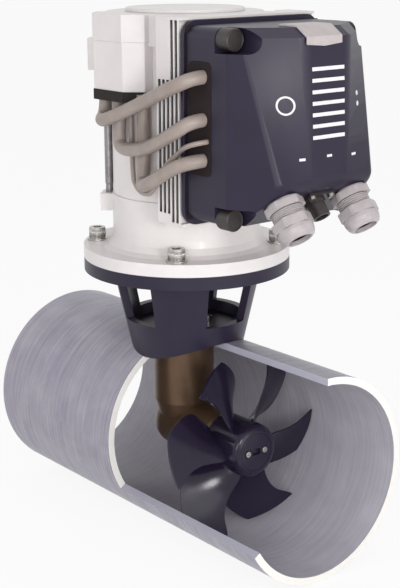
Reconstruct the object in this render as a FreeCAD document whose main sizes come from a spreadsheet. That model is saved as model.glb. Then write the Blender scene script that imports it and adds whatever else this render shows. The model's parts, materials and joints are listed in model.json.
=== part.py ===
import FreeCAD, Part
import math
import os
import re

import Sketcher
from FreeCAD import Placement, Rotation, Vector

# A side-power thruster: an electric motor stands on a saddle over a round hull tunnel.
# A bronze leg hangs in the tunnel and turns a six-bladed propeller through bevel gears.
# Origin: where the motor's axis crosses the tunnel's axis. X runs along the tunnel,
# Z is up through the motor, and the control box faces +X. All sizes are in millimetres.

os.makedirs("parts", exist_ok=True)
doc = FreeCAD.newDocument("tunnel_thruster")
sheet = doc.addObject("Spreadsheet::Sheet", "Sizes")

sizes = {
    # tunnel
    "tunnelBore": 185, "tunnelWall": 7, "tunnelLength": 400,
    "cutBack": 2, "cutLowAngle": 30, "cutHighAngle": 90.5,
    # clearances
    "bondGap": 0.1, "fitGap": 0.05, "runGap": 0.05, "seatGap": 0.2,
    # saddle bracket
    "saddleHeight": 68.1, "plateRadius": 102, "plateThick": 12.7,
    "cageTopRadius": 74, "cageFootRadius": 53.3, "cageDrop": 24.5, "cageWall": 8,
    "windowHalfAngle": 22, "windowSill": 19, "saddleFloor": 8.5, "floorHole": 13,
    # bronze leg and gear case
    "legRadius": 30.7, "legOffset": 6.4, "legRise": 0.5, "legWaist": 24, "legWaistTop": 28,
    "caseRadius": 26, "caseTail": 13, "caseNose": 46, "caseWall": 4.5, "capFlange": 11,
    "legBolts": 24, "boltRadius": 3, "boltHead": 5, "boltDepth": 12,
    # bearings and seals
    "bearingRadius": 16, "bearingWidth": 9, "lowBearing": 29, "sealWidth": 8,
    # bevel gears
    "toothModule": 2, "pinionTeeth": 13, "wheelTeeth": 19, "faceShare": 0.3, "backlash": 0.3,
    "pinionBore": 5, "pinionHub": 12.5, "wheelHub": 15, "wheelBack": 24,
    # shafts and coupling
    "driveShaftRadius": 7.5, "propShaftRadius": 8, "motorShaftRadius": 10,
    "couplingRadius": 21, "couplingHub": 18, "jawHeight": 12, "couplingRise": 20.5,
    "jawAngle": 50, "jawInner": 9,
    # propeller
    "hubRadius": 27, "hubStart": 59.5, "hubLength": 46, "hubRound": 6, "capRadius": 19, "capDepth": 7,
    "bladeRadius": 89, "bladeMiddle": 83, "bladePitch": 0.585, "bladeTurn": 3.2,
    "bladeRootThick": 7, "bladeTipThick": 3, "bladeEdge": 1.2, "hubScrewPitch": 10.5, "hubScrewRadius": 3.2,
    # motor
    "flangeThick": 12.1, "neckRadius": 72.5, "neckHeight": 51.1, "neckWall": 8.5, "neckFlare": 12,
    "flangeFloor": 20, "statorRadius": 71.5, "statorLength": 144.5, "statorWall": 7.5,
    "motorBearing": 23.5, "motorBearingWidth": 14, "flangeBoltInset": 12.3, "flangeBoltRadius": 5,
    "flangeBoltHead": 8, "washerRadius": 10, "washerThick": 2,
    "tieRodPitch": 54, "tieRodRadius": 4.1, "tieRodThread": 3.6,
    "lugWidth": 21, "lowLugReach": 84, "lowLugHeight": 17, "lowLugDrop": 2.5,
    "highLugReach": 93, "highLugHeight": 30,
    "coreLength": 110, "coreGap": 1, "rotorRadius": 40, "magnetThick": 4,
    "capOverhang": 4.5, "capHeight": 28.5, "lidRadius": 57, "lidThick": 3.5,
    # terminal cover
    "coverFront": 88, "coverLeft": 27, "coverRight": 17.5, "coverFacet": 14.7,
    "coverRise": 3.8, "coverHeight": 44.8, "coverWall": 2.5, "baseThick": 9.5, "baseEdge": 3.8,
    # heat sink
    "sinkLeft": 57.8, "sinkFace": 93, "sinkHalf": 80, "sinkBottom": 232, "finPitch": 6,
    "slotWidth": 3.7, "slotDepth": 14, "slotFirst": 62, "blockBottom": 362,
    # control box
    "rimSide": 3, "rimFoot": 6, "rimHead": 4.5, "rimThick": 4.5, "rimRound": 15,
    "gasketThick": 2, "gasketWidth": 3, "boxHalf": 78, "boxBottom": 240, "boxTop": 410,
    "sideDepth": 51.9, "boxDepth": 98.5, "cornerStep": 2.5, "footStep": 39, "headStep": 24,
    "footInset": 21.7, "headInset": 8.6, "headDepth": 65.7, "ridgeDepth": 93.9,
    "ridgeFootHalf": 20, "ridgeHeadHalf": 24.6, "slopeDepth": 52.4, "slopeAngle": 38.3,
    "brimDrop": 8, "brimDepth": 12.3, "boxWall": 3.5, "boxRound": 10,
    "knobRadius": 10, "knobLength": 15, "knobInset": 10.7, "knobDrop": 10, "knobRise": 6,
    "pocketRadius": 11.2, "pocketDepth": 36.5, "studRadius": 3,
    "badgeHalf": 20.5, "badgeShift": -5.8, "badgeThick": 2, "badgeLip": 7.4, "badgeBack": 22,
    "badgeSag": 1.8,
    "entryStart": 1.5, "entryEnd": 32, "entryRise": 42, "entryFall": 29, "entryProud": 0.6,
    "entryInset": 5.5, "entryRound": 6,
    # cable glands and connector
    "glandSide": 40, "glandAlong": 37, "glandFlats": 33, "glandFlange": 7, "glandThread": 14.4,
    "glandEntry": 12.4, "glandBore": 10.2, "glandNeck": 9, "domeLength": 19.5, "domeHex": 8.5,
    "glandPad": 1.5, "glandCorner": 18.2, "locknutThick": 5,
    "plugSide": 15, "plugRise": 13.5, "plugAlong": 33, "plugRadius": 8, "plugLength": 18.5,
    "plugFlange": 2.5, "plugScrewSide": 11.3, "plugScrewRise": 10.5, "plugScrewRadius": 3.2,
    # leads
    "leadRadius": 6.25, "thinRadius": 2.3, "leadGap": 0.15, "leadEntry": 120.5, "thinEntry": 126.5,
    # electronics
    "boardDepth": 12.5, "boardThick": 2, "boardInset": 22, "boardEdge": 24,
    "canRadius": 9, "canLength": 28,
}

derived = {
    "tunnelOuter": "tunnelBore / 2 + tunnelWall",
    "plateBottom": "tunnelOuter + saddleHeight",
    "plateTop": "plateBottom + plateThick",
    "cageFoot": "tunnelOuter - cageDrop",
    "cageFlare": "(cageTopRadius - cageFootRadius) / (plateBottom - cageFoot)",
    "sillTop": "tunnelOuter + windowSill",
    "floorTop": "tunnelOuter + saddleFloor",
    "floorInner": "cageFootRadius + cageFlare * (floorTop - cageFoot) - cageWall",
    "legTop": "tunnelOuter + legRise",
    "sealTop": "legTop - 1",
    "pinionTop": "lowBearing - 1.5",
    "highBearing": "sealTop - sealWidth - bearingWidth - 4",
    "capFront": "caseNose + capFlange",
    "flangeTop": "plateTop + flangeThick",
    "neckTop": "flangeTop + neckHeight",
    "neckInner": "neckRadius - neckWall",
    "floorLevel": "plateTop + flangeFloor",
    "statorTop": "neckTop + statorLength",
    "statorInner": "statorRadius - statorWall",
    "coreLow": "neckTop + (statorLength - coreLength) / 2",
    "coreHigh": "coreLow + coreLength",
    "endCapRadius": "statorRadius + capOverhang",
    "endCapTop": "statorTop + capHeight",
    "lidTop": "endCapTop + lidThick",
    "lowLugTop": "neckTop - lowLugDrop",
    "lowLugBottom": "lowLugTop - lowLugHeight",
    "highLugTop": "statorTop + 3",
    "highLugBottom": "highLugTop - highLugHeight",
    "couplingLow": "tunnelOuter + couplingRise",
    "jawLow": "couplingLow + couplingHub",
    "jawHigh": "jawLow + jawHeight",
    "couplingHigh": "jawHigh + couplingHub",
    "boltPlace": "(plateRadius - flangeBoltInset) * cos(45)",
    "coverTop": "statorTop + coverRise",
    "coverLow": "coverTop - coverHeight",
    "baseLow": "coverLow - baseThick",
    "leadTop": "coverLow - 2",
    "leadEnd": "-boxHalf + entryInset + 1",
    "rimFace": "sinkFace + rimThick",
    "rimHalf": "boxHalf + rimSide",
    "rimBottom": "boxBottom - rimFoot",
    "rimTop": "boxTop + rimHead",
    "boxBack": "rimFace + gasketThick",
    "boxFront": "boxBack + boxDepth",
    "sideFront": "boxBack + sideDepth",
    "headFront": "boxBack + headDepth",
    "ridgeHead": "boxBack + ridgeDepth",
    "panelFoot": "boxBottom + footStep",
    "panelHead": "boxTop - headStep",
    "brimLow": "boxTop - brimDrop",
    "slopeStart": "boxBack + slopeDepth",
    "knobSide": "boxHalf - knobInset",
    "knobHigh": "boxTop - knobDrop",
    "knobLow": "boxBottom + knobRise",
    "pocketFloor": "boxBack + pocketDepth",
    "entryLeft": "boxBack + entryStart",
    "entryRight": "boxBack + entryEnd",
    "entryLow": "boxBottom + entryRise",
    "entryHigh": "boxTop - entryFall",
    "boardPlace": "boxBack + boardDepth",
    "boardHalf": "boxHalf - boardInset",
    "boardLow": "boxBottom + boardEdge",
    "boardHigh": "boxTop - boardEdge",
    "hubEnd": "hubStart + hubLength",
}

SIZE_WORD = re.compile(r"[A-Za-z]\w*")


def formula(text):
    def swap(match):
        word = match.group(0)
        if word in derived:
            return "(" + formula(derived[word]) + ")"
        if word in sizes:
            return "Sizes." + word
        return word
    return SIZE_WORD.sub(swap, str(text))


def number(text):
    found = sheet.evalExpression(formula(text))
    return float(getattr(found, "Value", found))


def bind(item, path, text):
    item.setExpression(path, formula(text))


def place(item, x="0", y="0", z="0", turn=None):
    if turn is not None:
        item.Placement = Placement(Vector(), turn)
    for letter, text in zip("xyz", (x, y, z)):
        bind(item, "Placement.Base." + letter, text)
    return item


# Turns that lay a piece made along Z onto another axis.
alongX = Rotation(Vector(0, 1, 0), 90)
alongY = Rotation(Vector(1, 0, 0), -90)


def rod(name, radius, low, high, axis="Z", at=("0", "0")):
    item = doc.addObject("Part::Cylinder", name)
    bind(item, "Radius", radius)
    bind(item, "Height", "(" + high + ") - (" + low + ")")
    if axis == "X":
        return place(item, low, at[0], at[1], alongX)
    if axis == "Y":
        return place(item, at[0], low, at[1], alongY)
    return place(item, at[0], at[1], low)


def cone(name, lowRadius, highRadius, low, high, at=("0", "0")):
    item = doc.addObject("Part::Cone", name)
    bind(item, "Radius1", lowRadius)
    bind(item, "Radius2", highRadius)
    bind(item, "Height", "(" + high + ") - (" + low + ")")
    return place(item, at[0], at[1], low)


def block(name, x, y, z):
    item = doc.addObject("Part::Box", name)
    for side, (low, high) in zip(("Length", "Width", "Height"), (x, y, z)):
        bind(item, side, "(" + high + ") - (" + low + ")")
    return place(item, x[0], y[0], z[0])


def spoke(name, inner, outer, width, low, high, angle):
    # a box that points away from the motor's axis at the given angle
    item = doc.addObject("Part::Box", name)
    bind(item, "Length", "(" + outer + ") - (" + inner + ")")
    bind(item, "Width", width)
    bind(item, "Height", "(" + high + ") - (" + low + ")")
    c = round(math.cos(math.radians(angle)), 9)
    s = round(math.sin(math.radians(angle)), 9)
    x = f"({inner}) * ({c}) + ({width}) / 2 * ({s})"
    y = f"({inner}) * ({s}) - ({width}) / 2 * ({c})"
    return place(item, x, y, low, Rotation(Vector(0, 0, 1), angle))


def joined(name, parts):
    item = doc.addObject("Part::MultiFuse", name)
    item.Shapes = parts
    return item


def shared(name, parts):
    item = doc.addObject("Part::MultiCommon", name)
    item.Shapes = parts
    return item


def cut(name, base, *tools):
    item = doc.addObject("Part::Cut", name)
    item.Base = base
    item.Tool = tools[0] if len(tools) == 1 else joined(name + "_cutters", list(tools))
    return item


def group(name, parts):
    item = doc.addObject("Part::Compound", name)
    item.Links = parts
    return item


def solid(name, shape):
    item = doc.addObject("Part::Feature", name)
    item.Shape = shape
    return item


def outline(body, name, role, points):
    # a closed polygon whose corners are held by sizes
    sketch = body.newObject("Sketcher::SketchObject", name)
    plane = next(part for part in body.Origin.OriginFeatures if part.Role == role)
    sketch.AttachmentSupport = [(plane, "")]
    sketch.MapMode = "FlatFace"
    corners = [Vector(number(a), number(b), 0) for a, b in points]
    count = len(corners)
    for index in range(count):
        line = Part.LineSegment(corners[index], corners[(index + 1) % count])
        sketch.addGeometry(line, False)
    for index in range(count):
        sketch.addConstraint(Sketcher.Constraint("Coincident", index, 2, (index + 1) % count, 1))
    for index, pair in enumerate(points):
        values = (corners[index].x, corners[index].y)
        for kind, axis, text, value in zip(("DistanceX", "DistanceY"), (-2, -1), pair, values):
            if abs(value) < 1e-9:
                sketch.addConstraint(Sketcher.Constraint("PointOnObject", index, 1, axis))
                continue
            held = sketch.addConstraint(Sketcher.Constraint(kind, -1, 1, index, 1, value))
            sketch.setExpression(f"Constraints[{held}]", formula(text))
    return sketch


def turned(name, points, axis="Z", at=("0", "0", "0")):
    # points are pairs of radius and distance along the axis
    body = doc.addObject("PartDesign::Body", name)
    sketch = outline(body, name + "_outline", "XZ_Plane", points)
    spin = body.newObject("PartDesign::Revolution", name + "_turned")
    spin.Profile = sketch
    spin.ReferenceAxis = (sketch, ["V_Axis"])
    spin.Angle = 360
    body.Tip = spin
    return place(body, at[0], at[1], at[2], alongX if axis == "X" else None)


def prism(name, role, points, low, high):
    body = doc.addObject("PartDesign::Body", name)
    sketch = outline(body, name + "_outline", role, points)
    pad = body.newObject("PartDesign::Pad", name + "_pad")
    pad.Profile = sketch
    bind(pad, "Length", "(" + high + ") - (" + low + ")")
    body.Tip = pad
    if role == "XY_Plane":
        return place(body, z=low)
    if role == "XZ_Plane":
        return place(body, y=high)
    return place(body, x=low)


def roundEdges(name, base, radius, chooser):
    doc.recompute()
    item = doc.addObject("Part::Fillet", name)
    item.Base = base
    chosen = [index for index, edge in enumerate(base.Shape.Edges, 1) if chooser(edge)]
    item.Edges = [(index, number(radius), number(radius)) for index in chosen]
    return item


def hexagon(name, flats, low, high):
    item = doc.addObject("Part::Prism", name)
    item.Polygon = 6
    bind(item, "Circumradius", "(" + flats + ") / 2 / cos(30)")
    bind(item, "Height", "(" + high + ") - (" + low + ")")
    return place(item, z=low)


corners = [(1, 1), (-1, 1), (-1, -1), (1, -1)]


def makeTunnel():
    ring = turned("tunnel_ring", [
        ("tunnelBore / 2", "-tunnelLength / 2"), ("tunnelOuter", "-tunnelLength / 2"),
        ("tunnelOuter", "tunnelLength / 2"), ("tunnelBore / 2", "tunnelLength / 2")], "X")
    # the sector that is open on the -Y side, from behind the leg to the +X end
    sector = doc.addObject("Part::Cylinder", "tunnel_sector")
    bind(sector, "Radius", "tunnelOuter + 10")
    bind(sector, "Height", "tunnelLength / 2 + cutBack + 10")
    bind(sector, "Angle", "cutLowAngle + cutHighAngle")
    turn = Rotation(Vector(1, 0, 0), 180 - number("cutHighAngle")).multiply(
        Rotation(Vector(0, 1, 0), 90)).multiply(Rotation(Vector(0, 0, 1), 90))
    place(sector, x="-cutBack", turn=turn)
    hole = rod("tunnel_leg_hole", "legRadius + seatGap", "0", "tunnelOuter + 10",
               at=("-legOffset", "0"))
    cut("tunnel_tube", ring, sector, hole)


def legBoltPlaces():
    for angle in (50, 130, 230, 310):
        x = f"-legOffset + legBolts * cos({angle})"
        y = f"legBolts * sin({angle})"
        yield angle, (x, y)


def flangeBoltPlaces():
    for index, (a, b) in enumerate(corners):
        yield index, (f"{a} * boltPlace", f"{b} * boltPlace")


def makeSaddle():
    plate = rod("saddle_plate", "plateRadius", "plateBottom", "plateTop")
    cage = cone("saddle_cage", "cageFootRadius", "cageTopRadius", "cageFoot", "plateBottom")
    body = joined("saddle_body", [plate, cage])
    hollow = cone("saddle_hollow", "floorInner", "cageTopRadius - cageWall", "floorTop", "plateBottom")
    mouth = rod("saddle_mouth", "cageTopRadius - cageWall", "plateBottom", "plateTop + 1")
    tools = [hollow, mouth]
    for index in range(4):
        window = doc.addObject("Part::Cylinder", f"saddle_window_{index}")
        bind(window, "Radius", "plateRadius")
        bind(window, "Height", "plateBottom - sillTop")
        bind(window, "Angle", "windowHalfAngle * 2")
        turn = Rotation(Vector(0, 0, 1), 90 * index - number("windowHalfAngle"))
        tools.append(place(window, z="sillTop", turn=turn))
    tools.append(rod("saddle_seat", "tunnelOuter + bondGap", "-plateRadius", "plateRadius", "X"))
    tools.append(rod("saddle_leg_seat", "legRadius + seatGap", "0", "legTop", at=("-legOffset", "0")))
    tools.append(rod("saddle_shaft_hole", "floorHole", "0", "floorTop + 1"))
    for index, at in legBoltPlaces():
        tools.append(rod(f"saddle_bolt_hole_{index}", "boltRadius + fitGap", "0", "floorTop + 1", at=at))
    for index, at in flangeBoltPlaces():
        tools.append(rod(f"saddle_flange_hole_{index}", "flangeBoltRadius + fitGap",
                         "plateBottom - 1", "plateTop + 1", at=at))
    cut("saddle_bracket", body, *tools)


def makeLeg():
    column = rod("leg_column", "legRadius", "legWaistTop", "legTop", at=("-legOffset", "0"))
    waist = cone("leg_waist", "legWaist", "legRadius", "legWaistTop - 20", "legWaistTop",
                 at=("-legOffset", "0"))
    barrel = rod("leg_barrel", "caseRadius", "-caseTail", "caseNose", "X")
    tail = doc.addObject("Part::Sphere", "leg_tail")
    bind(tail, "Radius", "caseRadius")
    place(tail, x="-caseTail")
    body = joined("leg_body", [column, waist, barrel, tail])
    tools = [
        rod("leg_bore", "bearingRadius + fitGap", "lowBearing - 1", "legTop + 1"),
        rod("leg_pinion_room", "bearingRadius - 1", "0", "lowBearing"),
        rod("leg_chamber", "caseRadius - caseWall", "-caseTail - 9", "caseNose + 1", "X"),
    ]
    for index, at in legBoltPlaces():
        tools.append(rod(f"leg_bolt_hole_{index}", "boltRadius + fitGap",
                         "legTop - boltDepth - 1", "legTop + 1", at=at))
    for index, (y, z) in enumerate(capScrewPlaces()):
        tools.append(rod(f"leg_cap_hole_{index}", "1.6 + fitGap", "caseNose - 9", "caseNose + 1",
                         "X", (y, z)))
    cut("leg_housing", body, *tools)


def capScrewPlaces():
    for angle in (90, 210, 330):
        reach = "(caseRadius - caseWall / 2)"
        yield f"{reach} * cos({angle})", f"{reach} * sin({angle})"


def makeGearcaseCap():
    reach = "caseRadius - caseWall - fitGap"
    blank = turned("gearcase_cap_blank", [
        ("bearingRadius + fitGap", "caseNose - 19.5"), (reach, "caseNose - 19.5"),
        (reach, "caseNose"), ("caseRadius", "caseNose"), ("caseRadius", "capFront - 3"),
        ("caseRadius - 3", "capFront"), ("propShaftRadius + 1.5", "capFront"),
        ("propShaftRadius + 1.5", "capFront - 2"), ("bearingRadius + fitGap", "capFront - 2")], "X")
    holes = []
    screws = []
    for index, (y, z) in enumerate(capScrewPlaces()):
        holes.append(rod(f"gearcase_cap_hole_{index}", "1.6 + fitGap", "caseNose - 1", "capFront + 1",
                         "X", (y, z)))
        holes.append(rod(f"gearcase_cap_sink_{index}", "3.2", "capFront - 5", "capFront + 1",
                         "X", (y, z)))
        shank = rod(f"gearcase_screw_shank_{index}", "1.6", "caseNose - 8", "capFront - 5", "X", (y, z))
        head = rod(f"gearcase_screw_head_{index}", "3", "capFront - 5", "capFront - 1.5", "X", (y, z))
        screws.append(joined(f"gearcase_screw_{index}", [shank, head]))
    cut("gearcase_cap", blank, *holes)
    group("gearcase_screws", screws)


def ring(name, inner, outer, low, high, axis="Z"):
    return turned(name, [(inner, low), (outer, low), (outer, high), (inner, high)], axis)


def makeLegBolts():
    screws = []
    for index, at in legBoltPlaces():
        shank = rod(f"leg_bolt_shank_{index}", "boltRadius", "legTop - boltDepth", "floorTop", at=at)
        head = rod(f"leg_bolt_head_{index}", "boltHead", "floorTop", "floorTop + 6", at=at)
        socket = hexagon(f"leg_bolt_socket_{index}", "5", "floorTop + 3", "floorTop + 7")
        place(socket, at[0], at[1], "floorTop + 3")
        screws.append(cut(f"leg_bolt_{index}", joined(f"leg_bolt_body_{index}", [shank, head]), socket))
    group("leg_bolts", screws)


def makeBearings():
    drive = "driveShaftRadius + runGap"
    prop = "propShaftRadius + runGap"
    motor = "motorShaftRadius + runGap"
    ring("leg_lower_bearing", drive, "bearingRadius", "lowBearing", "lowBearing + bearingWidth")
    ring("leg_upper_bearing", drive, "bearingRadius", "highBearing", "highBearing + bearingWidth")
    ring("leg_shaft_seal", drive, "bearingRadius", "sealTop - sealWidth", "sealTop")
    ring("prop_rear_bearing", prop, "bearingRadius", "caseNose - 19", "caseNose - 19 + bearingWidth", "X")
    ring("prop_front_bearing", prop, "bearingRadius", "caseNose - 9", "caseNose - 9 + bearingWidth", "X")
    ring("prop_shaft_seal", prop, "bearingRadius", "caseNose + 1", "capFront - 2.1", "X")
    ring("motor_lower_bearing", motor, "motorBearing", "floorLevel - motorBearingWidth", "floorLevel")
    ring("motor_upper_bearing", motor, "motorBearing", "statorTop + 8", "statorTop + 8 + motorBearingWidth")


def bevelTooth(teeth, cone, thin):
    # one tooth's flank points on the back cone, as distance past the pitch line and angle
    pitchRadius = teeth * number("toothModule") / 2
    backRadius = pitchRadius / math.cos(cone)
    press = math.radians(20)
    baseRadius = backRadius * math.cos(press)
    tip = backRadius + 0.8 * number("toothModule")
    root = backRadius - 1.05 * number("toothModule")
    half = (math.pi * number("toothModule") / 2 - thin) / 2 / backRadius
    atPitch = math.tan(press) - press
    flank = []
    steps = 5
    for step in range(steps + 1):
        radius = root + (tip - root) * step / steps
        if radius <= baseRadius:
            turn = half + atPitch
        else:
            angle = math.acos(baseRadius / radius)
            turn = half + atPitch - (math.tan(angle) - angle)
        flank.append((radius - backRadius, turn * backRadius / pitchRadius))
    return flank


def bevelGear(teeth, mate, phase):
    # teeth run to the crossing of the two axes; the gear is made along +Z
    module = number("toothModule")
    radius = teeth * module / 2
    height = mate * module / 2
    angle = math.atan2(radius, height)
    flank = bevelTooth(teeth, angle, number("backlash") / 2)

    def section(level):
        points = []
        for tooth in range(teeth):
            middle = phase + 2 * math.pi * tooth / teeth
            side = [(past, middle - turn) for past, turn in flank]
            side += [(past, middle + turn) for past, turn in reversed(flank)]
            for past, turn in side:
                across = radius + past * math.cos(angle)
                along = height - past * math.sin(angle)
                scale = level / along
                points.append(Vector(across * scale * math.cos(turn),
                                     across * scale * math.sin(turn), level))
        return Part.makePolygon(points + points[:1])

    share = number("faceShare")
    tipOut = (radius + 0.8 * module * math.cos(angle), height - 0.8 * module * math.sin(angle))
    rootOut = (radius - 1.3 * module * math.cos(angle), height + 1.3 * module * math.sin(angle))
    tipIn = (tipOut[0] * (1 - share), tipOut[1] * (1 - share))
    rootIn = (rootOut[0] * (1 - share), rootOut[1] * (1 - share))
    toothed = Part.makeLoft([section(tipIn[1] - 1), section(rootOut[1] + 1)], True, True)
    corners = [(0, rootIn[1]), rootIn, tipIn, tipOut, rootOut, (0, rootOut[1])]
    wire = Part.makePolygon([Vector(r, 0, z) for r, z in corners + corners[:1]])
    blank = Part.Face(wire).revolve(Vector(), Vector(0, 0, 1), 360)
    return toothed.common(blank), tipIn[1], rootOut[1]


def makeGears():
    pinionTeeth = int(number("pinionTeeth"))
    wheelTeeth = int(number("wheelTeeth"))
    teeth, inner, back = bevelGear(pinionTeeth, wheelTeeth, 0.0)
    hub = Part.makeCylinder(number("pinionHub"), number("pinionTop") - back, Vector(0, 0, back))
    bore = Part.makeCylinder(number("pinionBore + fitGap"), number("pinionTop") - inner + 10,
                             Vector(0, 0, inner - 5))
    solid("bevel_pinion", teeth.fuse(hub).cut(bore))
    teeth, inner, back = bevelGear(wheelTeeth, pinionTeeth, math.pi + math.pi / wheelTeeth)
    hub = Part.makeCylinder(number("wheelHub"), number("wheelBack") - back, Vector(0, 0, back))
    bore = Part.makeCylinder(number("propShaftRadius + fitGap"), number("wheelBack") - inner + 10,
                             Vector(0, 0, inner - 5))
    wheel = solid("bevel_wheel", teeth.fuse(hub).cut(bore))
    wheel.Placement = Placement(Vector(), alongX)
    return inner


def makeShafts(shaftStart):
    turned("drive_shaft", [
        ("0", "pinionTop - 16"), ("pinionBore", "pinionTop - 16"),
        ("pinionBore", "pinionTop"), ("driveShaftRadius", "pinionTop"),
        ("driveShaftRadius", "jawLow - 1"), ("0", "jawLow - 1")])
    turned("prop_shaft", [
        ("0", str(round(shaftStart, 4))), ("propShaftRadius", str(round(shaftStart, 4))),
        ("propShaftRadius", "hubEnd - capDepth - 1"), ("0", "hubEnd - capDepth - 1")], "X")
    turned("motor_shaft", [
        ("0", "jawHigh + 1"), ("motorShaftRadius", "jawHigh + 1"),
        ("motorShaftRadius", "statorTop + 23"), ("0", "statorTop + 23")])


def sector(name, inner, outer, low, high, angle, middle):
    full = doc.addObject("Part::Cylinder", name + "_full")
    bind(full, "Radius", outer)
    bind(full, "Height", "(" + high + ") - (" + low + ")")
    bind(full, "Angle", angle)
    turn = Rotation(Vector(0, 0, 1), middle - number(angle) / 2)
    place(full, z=low, turn=turn)
    core = rod(name + "_core", inner, "(" + low + ") - 1", "(" + high + ") + 1")
    return cut(name, full, core)


def makeCoupling():
    lower = [ring("coupling_lower_hub", "driveShaftRadius + fitGap", "couplingRadius",
                  "couplingLow", "jawLow")]
    upper = [ring("coupling_upper_hub", "motorShaftRadius + fitGap", "couplingRadius",
                  "jawHigh", "couplingHigh")]
    arms = [ring("spider_core", "jawInner - 4", "jawInner - 0.2", "jawLow + 0.2", "jawHigh - 0.2")]
    for index in range(3):
        lower.append(sector(f"lower_jaw_{index}", "jawInner", "couplingRadius", "jawLow",
                            "jawHigh - 0.2", "jawAngle", 120 * index))
        upper.append(sector(f"upper_jaw_{index}", "jawInner", "couplingRadius", "jawLow + 0.2",
                            "jawHigh", "jawAngle", 120 * index + 60))
    for index in range(6):
        arms.append(sector(f"spider_arm_{index}", "jawInner - 2", "couplingRadius - 0.5",
                           "jawLow + 0.2", "jawHigh - 0.2", "60 - jawAngle - 0.6", 60 * index + 30))
    joined("coupling_lower_half", lower)
    joined("coupling_upper_half", upper)
    joined("coupling_spider", arms)


# How far a blade reaches to either side of its middle, in degrees, at each radius.
bladeEdges = [(22, 18, -30), (32, 15, -34), (42, 11.5, -36.5), (52, 9.3, -37), (62, 9.2, -35),
              (72, 11, -28.5), (80, 13.8, -22.5), (86, 15.7, -18), (92, 16.5, -14.5)]


def bladeSkin(side):
    # one face of a blade: a helical surface with half the blade's thickness added to it
    middle = number("bladeMiddle")
    pitch = number("bladePitch")
    perTurn = math.degrees(pitch)
    edge = number("bladeEdge") / 2
    first = bladeEdges[0][0]
    last = bladeEdges[-1][0]
    grid = []
    for radius, lead, trail in bladeEdges:
        share = (radius - first) / (last - first)
        thick = number("bladeRootThick") * (1 - share) + number("bladeTipThick") * share
        slope = math.hypot(radius, perTurn)
        row = []
        for step in range(13):
            across = step / 12
            angle = trail + (lead - trail) * across
            offset = side * (edge + (thick / 2 - edge) * math.sin(math.pi * across))
            x = middle + pitch * angle + offset * radius / slope
            turn = math.radians(angle) - offset * perTurn / slope / radius
            row.append(Vector(x, radius * math.cos(turn), radius * math.sin(turn)))
        grid.append(row)
    surface = Part.BSplineSurface()
    surface.interpolate(grid)
    return surface


def makeBlade():
    front = bladeSkin(1)
    back = bladeSkin(-1)
    faces = [front.toShape(), back.toShape()]
    rootU, tipU, trailV, leadV = front.bounds()
    for at in (rootU, tipU):
        faces.append(Part.makeRuledSurface(front.uIso(at).toShape(), back.uIso(at).toShape()))
    for at in (trailV, leadV):
        faces.append(Part.makeRuledSurface(front.vIso(at).toShape(), back.vIso(at).toShape()))
    shell = Part.makeShell(faces)
    shell.sewShape()
    blade = Part.makeSolid(shell)
    if blade.Volume < 0:
        blade.reverse()
    reach = Part.makeCylinder(number("bladeRadius"), number("hubLength") * 2,
                              Vector(number("bladeMiddle - hubLength"), 0, 0), Vector(1, 0, 0))
    return blade.common(reach)


def makePropeller():
    blade = makeBlade()
    hub = turned("propeller_hub", [
        ("propShaftRadius + fitGap", "hubStart"), ("hubRadius", "hubStart"),
        ("hubRadius", "hubEnd - hubRound"), ("hubRadius - hubRound * 0.3", "hubEnd - hubRound * 0.3"),
        ("hubRadius - hubRound", "hubEnd"), ("capRadius + seatGap", "hubEnd"),
        ("capRadius + seatGap", "hubEnd - capDepth"),
        ("propShaftRadius + fitGap", "hubEnd - capDepth")], "X")
    doc.recompute()
    whole = hub.Shape.copy()
    for index in range(6):
        one = blade.copy()
        one.rotate(Vector(), Vector(1, 0, 0), 60 * index - number("bladeTurn"))
        whole = whole.fuse(one)
    solid("propeller_body", whole)
    holes = []
    screws = []
    for side in (-1, 1):
        at = (f"{side} * hubScrewPitch", "0")
        holes.append(rod(f"hub_hole_{side + 1}", "1.7", "hubEnd - capDepth - 8",
                         "hubEnd - capDepth + 1", "X", at))
        shank = rod(f"hub_screw_shank_{side + 1}", "1.6", "hubEnd - capDepth - 7",
                    "hubEnd - 2.4", "X", at)
        head = rod(f"hub_screw_head_{side + 1}", "hubScrewRadius - 0.2", "hubEnd - 2.4",
                   "hubEnd + 0.6", "X", at)
        socket = rod(f"hub_screw_socket_{side + 1}", "1.2", "hubEnd - 1", "hubEnd + 1", "X", at)
        screws.append(cut(f"hub_screw_{side + 1}",
                          joined(f"hub_screw_body_{side + 1}", [shank, head]), socket))
    cut("propeller", doc.getObject("propeller_body"), *holes)
    disc = rod("hub_cap_disc", "capRadius", "hubEnd - capDepth", "hubEnd", "X")
    tools = []
    for side in (-1, 1):
        at = (f"{side} * hubScrewPitch", "0")
        tools.append(rod(f"cap_hole_{side + 1}", "1.7", "hubEnd - capDepth - 1", "hubEnd", "X", at))
        tools.append(rod(f"cap_sink_{side + 1}", "hubScrewRadius + 0.6", "hubEnd - 2.4", "hubEnd + 1",
                         "X", at))
    tools.append(block("cap_slot", ("hubEnd - 3", "hubEnd + 1"), ("-5", "5"), ("-3", "3")))
    cut("hub_cap", disc, *tools)
    group("hub_cap_screws", screws)


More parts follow.
